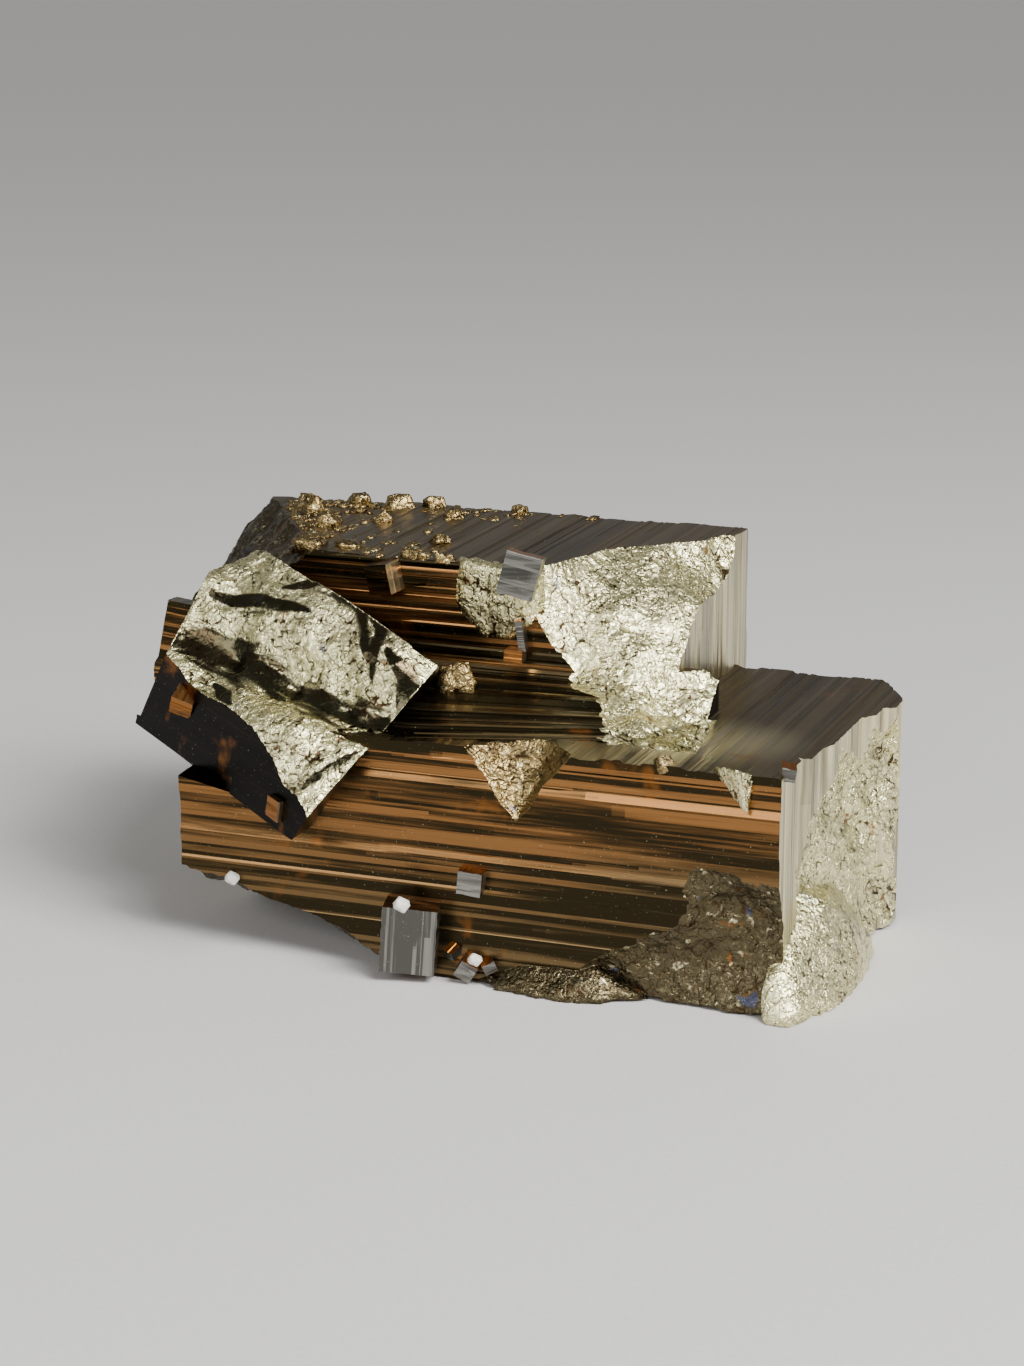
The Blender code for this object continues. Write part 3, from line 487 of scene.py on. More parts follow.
def scattered(points, cell, seed):
    """Cells around points scattered one to a cube: the gap to the next cell, the middle, the lean.

    All are in cube sides. The lean is the place within the cell along a direction of its own, so
    that as a height it gives each cell a face that leans its own way.
    """
    scaled = points / cell
    low = np.floor(scaled)
    first = np.full(len(points), 9.0)
    second = first.copy()
    lean = np.zeros(len(points))
    for step in itertools.product((-1.0, 0.0, 1.0), repeat=3):
        corner = low + step
        place = [hashed(corner, seed + axis) for axis in range(3)]
        away = scaled - corner - np.stack(place, axis=1)
        gap = np.linalg.norm(away, axis=1)
        nearer = gap < first
        second = np.where(nearer, first, np.minimum(second, gap))
        way = np.stack((place[1], place[2], place[0]), axis=1) - 0.5
        lean = np.where(nearer, (away * way).sum(axis=1), lean)
        first = np.minimum(first, gap)
    return second - first, first, lean


def smooth_step(value, start, end):
    """0 before the start, 1 after the end, and a smooth cubic in between."""
    share = np.clip((value - start) / (end - start), 0.0, 1.0)
    return share * share * (3.0 - 2.0 * share)


def add_piece(name, points, faces, material, values=None):
    """Link a closed mesh object, turned right side out, with values kept as one attribute each."""
    mesh = bpy.data.meshes.new(name)
    mesh.from_pydata(points, [], faces)
    for attribute, (domain, numbers) in (values or {}).items():
        layer = mesh.attributes.new(attribute, "FLOAT", domain)
        layer.data.foreach_set("value", np.asarray(numbers, np.float32).ravel())
    mesh.materials.append(material)
    mesh.update()
    middles = np.empty(3 * len(mesh.polygons))
    normals = np.empty(3 * len(mesh.polygons))
    areas = np.empty(len(mesh.polygons))
    mesh.polygons.foreach_get("center", middles)
    mesh.polygons.foreach_get("normal", normals)
    mesh.polygons.foreach_get("area", areas)
    outward = (middles.reshape(-1, 3) * normals.reshape(-1, 3)).sum(axis=1) @ areas
    if outward < 0.0:
        mesh.flip_normals()
    piece = bpy.data.objects.new(name, mesh)
    bpy.context.scene.collection.objects.link(piece)
    return piece


def combine(target, tool, operation):
    """Unite, cut or intersect the target with a tool, which is used up."""
    modifier = target.modifiers.new("combine", "BOOLEAN")
    modifier.operation = operation
    modifier.solver = "MANIFOLD"
    modifier.material_mode = "TRANSFER"
    modifier.object = tool
    ready = target.evaluated_get(bpy.context.evaluated_depsgraph_get())
    mesh = bpy.data.meshes.new_from_object(ready)
    target.modifiers.clear()
    if not mesh.polygons:
        raise RuntimeError(f"nothing is left of {target.name} after {tool.name}")
    spare = (target.data, tool.data)
    target.data = mesh
    bpy.data.objects.remove(tool)
    for old in spare:
        bpy.data.meshes.remove(old)


def move_points(piece, place):
    """Put all points of a piece through a function of their places."""
    points = np.empty(3 * len(piece.data.vertices))
    piece.data.vertices.foreach_get("co", points)
    piece.data.vertices.foreach_set("co", place(points.reshape(-1, 3)).ravel())
    piece.data.update()


def banded_line(start, end, bands):
    """Places along a striated side, each with its depth: level bands with short slopes between."""
    place = start
    depth = 0.0
    line = [(place, depth)]
    while place < end - BAND_WIDTHS[1] - BAND_DEPTH / RISER_SLOPE:
        place += bands.uniform(*BAND_WIDTHS)
        line.append((place, depth))
        new_depth = bands.uniform(0.0, BAND_DEPTH)
        place += abs(new_depth - depth) / RISER_SLOPE + STEP_GAP
        depth = new_depth
        line.append((place, depth))
    line.append((end, depth))
    return line


def striated_face(line, stations, fine, width, depth):
    """Places, depths and tones of a striated face: the coarse line plus fine bands that come and go.

    Each fine band has a depth of its own between two places on the line. Along the stations that
    depth is multiplied by a window that ramps up and down again, so that bands end in the face.
    """
    start = line[0][0]
    end = line[-1][0]
    plenty = int(BAND_PLENTY * (end - start) / width)
    widths = BAND_LEAST * width + fine.gamma(BAND_SHAPE, BAND_SCALE * width, plenty)
    edges = start + np.cumsum(widths)
    edges = np.concatenate(((start,), edges[edges < end - 0.1], (end,)))
    count = len(edges) - 1
    reach = stations[-1] - stations[0]
    opening = stations[0] + reach * fine.uniform(*BAND_OPENING, count)
    closing = opening + reach * fine.uniform(*BAND_STAY, count)
    ramp = fine.uniform(*BAND_RAMP, count)
    window = (smooth_step(stations[None], opening[:, None], (opening + ramp)[:, None])
              * (1.0 - smooth_step(stations[None], closing[:, None], (closing + ramp)[:, None])))
    depths = (depth * fine.uniform(0.0, 1.0, count) ** DEPTH_POWER)[:, None] * window
    swings = fine.uniform(-TONE_SWING, TONE_SWING, TONE_SWINGS)
    coarse_tone = np.interp(edges[:-1], np.linspace(start, end, TONE_SWINGS), swings)
    tone = (fine.uniform(0.0, 1.0, count) + coarse_tone)[:, None]
    tone = tone * (TONE_SWING + (1.0 - TONE_SWING) * window)
    lean = np.minimum(BAND_SLOPE * np.diff(edges), BAND_SLOPE_LIMIT)
    places = np.stack((edges[:-1] + lean, edges[1:] - lean), axis=1).ravel()
    places[0] = start
    places[-1] = end
    coarse = np.interp(places, [place for place, _ in line], [level for _, level in line])
    return places, coarse[:, None] + np.repeat(depths, 2, axis=0), np.repeat(tone, 2, axis=0)


def carried_outline(name, points, material, tone, across):
    """A closed piece from a grid of points: each column is an outline, and the rows join them."""
    rows, columns = points.shape[:2]
    index = np.arange(rows * columns).reshape(rows, columns)
    following = np.roll(index, -1, axis=0)
    quads = np.stack((index[:, :-1], following[:, :-1], following[:, 1:], index[:, 1:]), axis=-1)
    faces = quads.reshape(-1, 4).tolist()
    faces += [index[::-1, 0].tolist(), index[:, -1].tolist()]
    tone = np.concatenate((tone[:, :-1].ravel(), (0.0, 0.0)))
    values = {"tone": ("FACE", tone), "across": ("FACE", np.full(len(faces), float(across)))}
    return add_piece(name, points.reshape(-1, 3), faces, material, values)


def striated_slab(name, low, high, across, bands, fine, stripe, material, steps=None):
    """A slab whose two faces, across one axis, are banded along the next axis and run on the third.

    Near face, far face and the ways between them make one closed outline, carried along the run.
    """
    along = (across + 1) % 3
    run = (across + 2) % 3
    ends = (low[along] - MARGIN, high[along] + MARGIN)
    stations = np.arange(low[run] - MARGIN, high[run] + MARGIN + STATION, STATION)
    near_line = banded_line(*ends, bands)
    far_line = banded_line(*ends, bands)
    if steps:
        inner = [(place, level) for place, level in far_line if place < steps[0][0] or place > steps[-1][0]]
        far_line = sorted(inner + [(place, high[across] - level) for place, level in steps])
    near_places, near_depth, near_tone = striated_face(near_line, stations, fine, *stripe)
    far_places, far_depth, far_tone = striated_face(far_line, stations, fine, *stripe)
    places = np.concatenate((near_places, far_places[::-1]))
    levels = np.concatenate((low[across] + near_depth, high[across] - far_depth[::-1]))
    points = np.empty((*levels.shape, 3))
    points[..., along] = places[:, None]
    points[..., across] = levels
    points[..., run] = stations[None]
    return carried_outline(name, points, material, np.concatenate((near_tone, far_tone[::-1])), across)


def crystal(name, low, high, seed, stripe, material, steps=None):
    """A cube-like crystal: what three striated slabs share, with bands that turn from face to face."""
    bands = random.Random(seed)
    fine = np.random.default_rng(seed)
    block = striated_slab(name, low, high, 1, bands, fine, stripe, material)
    for across, suffix in ((0, "_ends"), (2, "_top")):
        slab = striated_slab(name + suffix, low, high, across, bands, fine, stripe, material,
                             steps if across == 0 else None)
        combine(block, slab, "INTERSECT")
    return block


def surface_through(points):
    """A function that gives the height, over places on a plane, of a surface through all the points.

    The height is a level plane plus a cone of distance from each point, with weights that are
    solved so that the sum meets every point.
    """
    places = points[:, :2]
    gaps = np.linalg.norm(places[:, None] - places[None], axis=2)
    level = np.column_stack((np.ones(len(points)), places))
    system = np.block([[gaps, level], [level.T, np.zeros((3, 3))]])
    weights = np.linalg.solve(system, np.append(points[:, 2], np.zeros(3)))

    def height(where):
        reach = np.linalg.norm(where[:, None] - places[None], axis=2)
        return reach @ weights[:-3] + np.column_stack((np.ones(len(where)), where)) @ weights[-3:]

    return height


def crackle(points, seed, cell, height, calm):
    """Fine relief of a broken face, with how deep each point lies in a crevice.

    Points are first swayed by noise. The relief sums the size of three octaves of signed noise,
    whose creases are the crevices, and a lean for each cell. Calm places keep little of it.
    """
    sway = np.stack([noise(points, SWAY_CELL * cell, seed + 20 + axis) for axis in range(3)], axis=1)
    swayed = points + SWAY_REACH * cell * sway
    octaves = [np.abs(noise(swayed, share * cell, seed + shift)) for share, shift, _ in OCTAVES]
    lean = scattered(swayed, LEAN_CELL * cell, seed + 7)[2]
    relief = LEAN_WEIGHT * lean - RELIEF_LEVEL
    relief += sum(weight * octave for octave, (_, _, weight) in zip(octaves, OCTAVES))
    wear = smooth_step(noise(points, WEAR_CELL * cell, seed + 32), -0.5, 0.5)
    creases = 1.0 - smooth_step(octaves[0], 0.0, 0.24)
    creases = np.maximum(creases, 0.7 - 0.7 * smooth_step(octaves[1], 0.0, 0.26))
    crevice = np.clip(creases * (0.45 + 0.55 * wear), 0.0, 1.0)
    ragged = 1.0 + CALM_RAGGED * noise(swayed, CALM_CELL * cell, seed + 34)
    calm = np.clip(calm * ragged, 0.0, 1.0)
    patches = smooth_step(noise(points, STILL_CELL * cell, seed + 33), 0.2, 0.7)
    still = np.maximum(calm, STILL_MOST * patches)
    return height * relief * (1.0 - CALM_FLAT * still), crevice * (1.0 - CREVICE_FILL * still), calm


def coarse_lumps(points, seed):
    """The height of a broken face's coarse lumps at each point."""
    return sum(height * noise(points, width, seed + width) for width, height in LUMPS)


def no_calm(points):
    """Nowhere is calm by itself."""
    return np.zeros(len(points))


def swept_calm(points):
    """Calm along the tilted crystal's sweeps, which are widest halfway, with streaks along them."""
    calm = np.zeros(len(points))
    for line, half in SWEEPS:
        corners = np.array(line)
        ways = np.diff(corners, axis=0)
        sizes = np.linalg.norm(ways, axis=1)
        starts = np.cumsum(sizes) - sizes
        for corner, way, size, start in zip(corners, ways, sizes, starts):
            away = points[:, :2] - corner
            share = np.clip(away @ way / size ** 2, 0.0, 1.0)
            along = start + share * size
            side = (away[:, 1] * way[0] - away[:, 0] * way[1]) / size
            offset = np.linalg.norm(away - share[:, None] * way, axis=1)
            width = half * (SWEEP_ENDS + (1.0 - SWEEP_ENDS) * np.sin(math.pi * along / sizes.sum()))
            brushed = np.column_stack((STREAK_STRETCH * along, side, np.full(len(points), half)))
            edge = offset / width + STREAK_DEPTH * noise(brushed, STREAK_WIDTH, 91)
            calm = np.maximum(calm, 1.0 - smooth_step(edge, *SWEEP_EDGE))
    return calm


def rough_sheet(name, points, outward, seed, cells, material, calm=no_calm, spare=3.0, thickness=30.0):
    """A closed block beyond a rough surface that passes through the points, to cut a broken face.

    The cells are their width, their height and the grid's step.
    """
    points = np.array(points)
    middle = points.mean(axis=0)
    axes = np.linalg.svd(points - middle)[2]
    if axes[2] @ np.array(outward) < 0.0:
        axes[2] = -axes[2]
    axes[1] = np.cross(axes[2], axes[0])
    local = (points - middle) @ axes.T
    low = local[:, :2].min(axis=0) - spare
    high = local[:, :2].max(axis=0) + spare
    columns, rows = (int(math.ceil(side / cells[2])) + 1 for side in high - low)
    grid = np.stack(np.meshgrid(np.linspace(low[0], high[0], columns),
                                np.linspace(low[1], high[1], rows), indexing="ij"), axis=-1)
    flat = grid.reshape(-1, 2)
    flat = np.column_stack((flat, surface_through(local)(flat)))
    near = middle + flat @ axes
    relief, crevice, still = crackle(near, seed, cells[0], cells[1], calm(near))
    near = near + (coarse_lumps(near, seed) + relief)[:, None] * axes[2]
    index = np.arange(columns * rows).reshape(columns, rows)
    ring = np.concatenate((index[:-1, 0], index[-1, :-1], index[:0:-1, -1], index[0, :0:-1]))
    top = flat[ring].copy()
    top[:, 2] = thickness
    quads = np.stack((index[:-1, :-1], index[:-1, 1:], index[1:, 1:], index[1:, :-1]), axis=-1)
    beyond = np.arange(columns * rows, columns * rows + len(ring))
    sides = np.stack((ring, np.roll(ring, -1), np.roll(beyond, -1), beyond), axis=-1)
    faces = quads.reshape(-1, 4).tolist() + sides.tolist() + [beyond.tolist()]
    extra = np.zeros(len(ring))
    values = {"crevice": ("POINT", np.concatenate((crevice, extra))),
              "calm": ("POINT", np.concatenate((still, extra)))}
    return add_piece(name, np.concatenate((near, middle + top @ axes)), faces, material, values)


def hull_planes(corners):
    """The middle of a set of corners, and outward normals and distances of its bounding planes."""
    corners = np.array(corners)
    middle = corners.mean(axis=0)
    triples = np.array(list(itertools.combinations(range(len(corners)), 3)))
    a, b, c = (corners[triples[:, side]] - middle for side in range(3))
    normals = np.cross(b - a, c - a)
    sizes = np.linalg.norm(normals, axis=1)
    real = sizes > 1e-6
    normals = normals[real] / sizes[real, None]
    offsets = (normals * a[real]).sum(axis=1)
    normals = normals * np.where(offsets < 0.0, -1.0, 1.0)[:, None]
    offsets = np.abs(offsets)
    bounding = ((corners - middle) @ normals.T <= offsets + 1e-6).all(axis=0)
    return middle, normals[bounding], offsets[bounding]


def stone(name, corners, seed, cells, material, around=48, amount=0.3):
    """A closed rough stone: from its middle, each direction reaches the nearest bounding plane.

    Directions are a grid of turns and heights on a sphere, closed by a point at each pole. Noise
    then moves each point along its direction.
    """
    middle, normals, offsets = hull_planes(corners)
    levels = around // 2
    turn = np.linspace(0.0, 2.0 * math.pi, around, endpoint=False)
    rise = np.linspace(-0.5 * math.pi, 0.5 * math.pi, levels + 1)[1:-1]
    turn, rise = np.meshgrid(turn, rise, indexing="xy")
    ways = np.stack((np.cos(turn) * np.cos(rise), np.sin(turn) * np.cos(rise), np.sin(rise)), axis=-1)
    ways = np.concatenate((ways.reshape(-1, 3), ((0.0, 0.0, -1.0), (0.0, 0.0, 1.0))))
    reach = (offsets / np.maximum(ways @ normals.T, 1e-6)).min(axis=1)
    points = middle + ways * reach[:, None]
    relief, crevice, calm = crackle(points, seed, cells[0], cells[1], no_calm(points))
    relief += amount * (noise(points, 2.5 * cells[0], seed) + 0.6 * noise(points, 1.2 * cells[0], seed + 9))
    index = np.arange(around * (levels - 1)).reshape(levels - 1, around)
    following = np.roll(index, -1, axis=1)
    quads = np.stack((index[:-1], following[:-1], following[1:], index[1:]), axis=-1)
    bottom = np.full(around, around * (levels - 1))
    low_fan = np.stack((bottom, following[0], index[0]), axis=-1)
    high_fan = np.stack((bottom + 1, index[-1], following[-1]), axis=-1)
    faces = quads.reshape(-1, 4).tolist() + low_fan.tolist() + high_fan.tolist()
    values = {"crevice": ("POINT", crevice), "calm": ("POINT", calm)}
    return add_piece(name, points + ways * relief[:, None], faces, material, values)


def turned(points, turn):
    """Points turned by degrees about X, then Y, then Z."""
    spin = (Matrix.Rotation(math.radians(turn[2]), 3, "Z") @ Matrix.Rotation(math.radians(turn[1]), 3, "Y")
            @ Matrix.Rotation(math.radians(turn[0]), 3, "X"))
    return points @ np.array(spin).T


def pebble_corners(place, halves, turn, share=PEBBLE_BOX):
    """The corners of a pebble: a turned box, and six points a little farther out on the axes."""
    signs = np.array(list(itertools.product((-1.0, 1.0), repeat=3)))
    box = turned(share * signs * np.array(halves), turn)
    tips = np.concatenate((np.diag(halves), -np.diag(halves)))
    return np.concatenate((box, tips)) + np.array(place)


def wedge(name, outline, material, sunk=0.0):
    """A closed block on a four-cornered plane, sunk a little and carried outwards from there."""
    corners = np.array(outline)
    outward = np.cross(corners[1] - corners[0], corners[3] - corners[0])
    outward = outward / np.linalg.norm(outward)
    near = corners - sunk * outward
    far = corners + WEDGE_THICKNESS * outward
    faces = [(3, 2, 1, 0), (4, 5, 6, 7)] + [(i, (i + 1) % 4, 4 + (i + 1) % 4, 4 + i) for i in range(4)]
    return add_piece(name, np.concatenate((near, far)), faces, material)


def cut_level(piece, material):
    """Cut a piece off at the surface that it stands on."""
    corners = np.array(list(itertools.product((-100.0, 200.0), (-100.0, 200.0), (-40.0, 0.0))))
    faces = ((0, 1, 3, 2), (4, 6, 7, 5), (0, 4, 5, 1), (2, 3, 7, 6), (0, 2, 6, 4), (1, 5, 7, 3))
    combine(piece, add_piece("under", corners, faces, material), "DIFFERENCE")


def tilted_to_cluster(points):
    """Places in the tilted crystal's own frame, as places from the base crystal's corner."""
    up = np.cross(TILT_OUT, TILT_ALONG)
    return points @ np.stack((TILT_ALONG, up / np.linalg.norm(up), TILT_OUT)) + TILT_CORNER


def build_apron(fine, stripe, material):
    """The terraces as a grid: a stepped profile with fine bands, carried from end to end.

    Its foot goes back in a straight line after the bend, and noise sways the terraces' edges.
    """
    steps = random.Random(5)
    shares = [0.0]
    for _ in range(APRON_TERRACES):
        shares.append(shares[-1] + steps.uniform(*TERRACE_SPREAD))
    shares = [share / shares[-1] for share in shares]
    rise = APRON_TOP - CORNER_HEIGHT
    profile = []
    for before, after in zip(shares, shares[1:]):
        level = rise * before * (1.0 - 1.5 * TERRACE_RISE)
        profile.append((before, level))
        profile.append((before + TERRACE_TREAD * (after - before), level + rise * TERRACE_RISE))
    profile.append((1.0, rise))
    front = UPPER_CRYSTAL[0][1]
    depth = front - APRON_LEFT_FOOT
    line = [(share * depth, 0.0) for share, _ in profile]
    stations = np.arange(APRON_LEFT, APRON_RIGHT + 1.0, 1.0)
    places, sunk, tone = striated_face(line, stations, fine, *stripe)
    level = np.interp(places / depth, [share for share, _ in profile], [height for _, height in profile])
    foot = np.interp(stations, (APRON_LEFT, APRON_BEND, APRON_RIGHT),
                     (APRON_LEFT_FOOT, APRON_LEFT_FOOT, APRON_RIGHT_FOOT))
    points = np.empty((len(places) + 3, len(stations), 3))
    points[..., 0] = stations[None]
    points[:-3, :, 1] = foot[None] + (places / depth)[:, None] * (front - foot)[None]
    points[:-3, :, 2] = CORNER_HEIGHT - APRON_SINK + level[:, None] - sunk
    points[-3:-1, :, 1] = front + APRON_ROOT
    points[-3, :, 2] = APRON_TOP
    points[-2:, :, 2] = CORNER_HEIGHT - APRON_ROOT
    points[-1, :, 1] = foot
    tone = np.concatenate((tone, np.zeros((3, len(stations)))))
    return carried_outline("apron", points, material, tone, 1)


def flake_places():
    """Places, half widths and turns of the flakes: thickest at the left and rear of the upper top."""
    chances = np.random.default_rng(77)
    edge_x, edge_y, slope = TOP_LEFT_EDGE
    clear, clear_slope = TOP_REAR_CLEAR
    rear, from_rear, rear_right = REAR_THINNING
    front, from_front, front_right = FRONT_THINNING
    found = []
    while len(found) < FLAKES:
        x, y, chance = chances.uniform((*FLAKE_FIELD[0], 0.0), (*FLAKE_FIELD[1], 1.0))
        left_edge = edge_x + slope * (y - edge_y)
        inward = min(x - left_edge, from_rear * (rear - y) + rear_right * max(x, 0.0),
                     from_front * (y - front) + front_right * x)
        inside = x > left_edge + TOP_LEFT_CLEAR and y < clear + clear_slope * x
        if inside and chance < math.exp(-inward / FLAKE_SPREAD):
            half = chances.uniform(*FLAKE_SIZES)
            turn = (*FLAKE_LEAN, chances.uniform(-FLAKE_TURN, FLAKE_TURN))
            found.append(((x, y, UPPER_CRYSTAL[1][2] - FLAKE_SINK), half, turn))
    return found


def small_crystal(name, place, edges, turn, seed, stripe, material):
    """A small crystal: a cube-like crystal made large, then made smaller, turned and put in place."""
    half = np.array(edges) / (2.0 * SMALL_SCALE)
    piece = crystal(name, -half, half, seed, stripe, material)
    move_points(piece, lambda points: turned(points * SMALL_SCALE, turn) + np.array(place))
    return piece


def gather(name, pieces):
    """One object from several, each kept as a closed shell of its own."""
    for piece in bpy.context.selected_objects:
        piece.select_set(False)
    for piece in pieces:
        piece.select_set(True)
    bpy.context.view_layer.objects.active = pieces[0]
    bpy.ops.object.join()
    pieces[0].name = name
    return pieces[0]


def finish_piece(piece):
    """Put a finished piece into the frame, round off its broken faces, hang it on the root body and hide the
    frame's solid.
    """
    move_points(piece, lambda points: points * MM + CORNER)
    mesh = piece.data
    smooth = np.array([material.name.startswith(BROKEN) for material in mesh.materials])
    indices = np.empty(len(mesh.polygons), np.int32)
    mesh.polygons.foreach_get("material_index", indices)
    mesh.polygons.foreach_set("use_smooth", smooth[indices])
    mesh.update()
    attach(piece, BODY)
    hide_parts(NODE)


def both_ways(operation):
    """An operator's two methods for a Value: with it as the first number, and as the second."""

    def first(self, other):
        return self.maths(operation, self, other)

    def second(self, other):
        return self.maths(operation, other, self)

    return first, second


class Value:
    """A socket of a material's node tree, to be used in sums and products like a number."""

    def __init__(self, tree, socket=None):
        self.tree = tree
        self.socket = socket

    def node(self, kind, settings=None, inputs=None, output=0):
        """Add a node, with its settings first and its inputs next, and give one of its outputs."""
        node = self.tree.nodes.new(kind)
        for name, setting in (settings or {}).items():
            setattr(node, name, setting)
        for name, given in (inputs or {}).items():
            if isinstance(given, Value):
                self.tree.links.new(given.socket, node.inputs[name])
            else:
                node.inputs[name].default_value = given
        return Value(self.tree, node.outputs[output])

    def maths(self, operation, *given):
        """A Math node on this value and the given ones."""
        return self.node("ShaderNodeMath", {"operation": operation}, dict(enumerate(given)))

    __add__, __radd__ = both_ways("ADD")
    __sub__, __rsub__ = both_ways("SUBTRACT")
    __mul__, __rmul__ = both_ways("MULTIPLY")
    __truediv__, __rtruediv__ = both_ways("DIVIDE")
    __pow__, __rpow__ = both_ways("POWER")

    def between(self, start, end):
        """0 at the start and 1 at the end, smoothly."""
        return self.node("ShaderNodeMapRange", {"interpolation_type": "SMOOTHSTEP"},
                         {0: self, 1: start, 2: end, 3: 0.0, 4: 1.0})

    def blend(self, first, second):
        """The first colour where this value is 0, and the second where it is 1."""
        given = {0: self}
        for index, shade in ((6, first), (7, second)):
            given[index] = shade if isinstance(shade, Value) else (*shade, 1.0)
        return self.node("ShaderNodeMix", {"data_type": "RGBA", "clamp_factor": True}, given, 2)

    def choose(self, first, second):
        """The first value where this one is 0, and the second where it is 1."""
        return self.node("ShaderNodeMix", {"data_type": "FLOAT"}, {0: self, 2: first, 3: second})

    def vector(self, operation, other):
        """A Vector Math node on this vector and another."""
        return self.node("ShaderNodeVectorMath", {"operation": operation}, {0: self, 1: other},
                         1 if operation in ("DOT_PRODUCT", "DISTANCE") else 0)

    def grain(self, scale, detail=2.0):
        """Noise from 0 to 1 over these places, which are in metres, at so many cells to the millimetre."""
        return self.node("ShaderNodeTexNoise", None,
                         {"Vector": self, "Scale": scale / MM, "Detail": detail, "Roughness": 0.6})

    def attribute(self, name):
        """A value kept on the piece."""
        return self.node("ShaderNodeAttribute", {"attribute_name": name}, None, 2)


def start_material(name):
    """A new material's node tree as a value, its Principled node and the places in the piece."""
    material = bpy.data.materials.new(name)
    material.use_nodes = True
    tree = Value(material.node_tree)
    places = tree.node("ShaderNodeTexCoord", None, None, 3)
    return material, tree, places, material.node_tree.nodes["Principled BSDF"]


def connect(tree, shader, sockets):
    """Feed the Principled node's sockets: values are linked and numbers are set."""
    for name, given in sockets.items():
        if isinstance(given, Value):
            tree.tree.links.new(given.socket, shader.inputs[name])
        else:
            shader.inputs[name].default_value = given


def dimmed(shade, share):
    """A share of a colour."""
    return [share * part for part in shade]


def growth_material(name, colours, axes, dark=0.0, stain=0.0):
    """Striated faces: bands of two tones along each face's own stripes, with stains and dust.

    The bands' colour follows the tone kept on each band, and streaks of noise that are stretched
    along the stripes. Faces across X, Y and Z each have their own pair of colours, as painted light:
    ends bright as if lit from the side and tops dark as a dark reflection. Painted shade darkens the
    front low down, at the lower right and near the top, and a painted highlight lies on the base's top.
    """
    material, tree, places, shader = start_material(name)
    x, y, z = (places.vector("DOT_PRODUCT", tuple(axis)) for axis in axes)
    across = tree.attribute("across")
    front = across.maths("COMPARE", across, 1.0, 0.4)
    upper = across.maths("COMPARE", across, 2.0, 0.4)
    band = upper.choose(front.choose(y, z), x)
    run = upper.choose(front.choose(z, x), y)
    streak, wide, hair = (
        tree.node("ShaderNodeCombineXYZ", None, {0: band, 1: run * kept, 2: across}).grain(scale, detail)
        for kept, scale, detail in (STREAKS, WIDE_STREAKS, HAIRS))
    right, back, height = (places.node("ShaderNodeSeparateXYZ", None, {0: places}, axis) / MM
                           for axis in range(3))
    # Painted shade: the front is darkened low down, at the lower right and near the top, and there and
    # towards the rear its bands take the darker tarnish bronze.
    low = 1.0 - height.between(*LOWER_PAINTED_SHADE)
    corner = right.between(*RIGHT_PAINTED_SHADE) * (1.0 - height.between(*CORNER_PAINTED_SHADE))
    tone = tree.attribute("tone") * TONE_OF_BAND + streak + wide * TONE_OF_WIDE - (1.0 + dark)
    shadow = low * LOW_SHADOW + corner * CORNER_SHADOW + height.between(*UPPER_PAINTED_SHADE) * UPPER_SHADOW
    painted_shade_and_rear = low.maths("MAXIMUM", low, corner)
    painted_shade_and_rear = low.maths("MAXIMUM", painted_shade_and_rear, back.between(*REAR_DULL))
    fresh = painted_shade_and_rear.blend(colours.bronze, colours.tarnish)
    bands = (tone - shadow).between(*BAND_TONES).blend(colours.olive, fresh)
    ends = tone.between(*END_TONES).blend(dimmed(colours.beige, END_DARK), colours.beige)
    tops = tone.between(*TOP_TONES).blend(dimmed(colours.top, TOP_DARK), colours.top)
    # Painted highlight: a bright beige patch on the base crystal's top, streaked along the stripes.
    patch = 1.0 - places.vector("DISTANCE", tuple(TOP_PAINTED_HIGHLIGHT)).between(TOP_HIGHLIGHT_INNER, TOP_HIGHLIGHT_OUTER)
    tops = (patch * (0.35 + streak * 0.8)).blend(tops, colours.beige)
    face = upper.blend(front.blend(ends, bands), tops)
    spots = places.grain(STAIN_CELLS, 3.0).between(STAIN_START - stain, STAIN_END - stain)
    face = (spots * 0.5).blend(face, colours.rust)
    dust = places.grain(DUST_CELLS, 2.0).between(*DUST_AMOUNT)
    face = (dust * 0.5).blend(face, colours.brass)
    relief = hair * 0.6 + streak * 0.4
    bump = tree.node("ShaderNodeBump", None,
                     {"Strength": 0.4, "Distance": STRIPE_BUMP, "Height": relief})
    connect(tree, shader, {"Base Color": face, "Metallic": 1.0, "Normal": bump,
                           "Roughness": 0.20 + streak * 0.22 + dust * 0.3})
    return material


def vein(places, scale, width):
    """1 along the curves where noise crosses its middle, falling to 0 beside them."""
    crossing = places.grain(scale, 0.0) - 0.5
    return 1.0 - crossing.maths("ABSOLUTE", crossing).between(0.0, width)


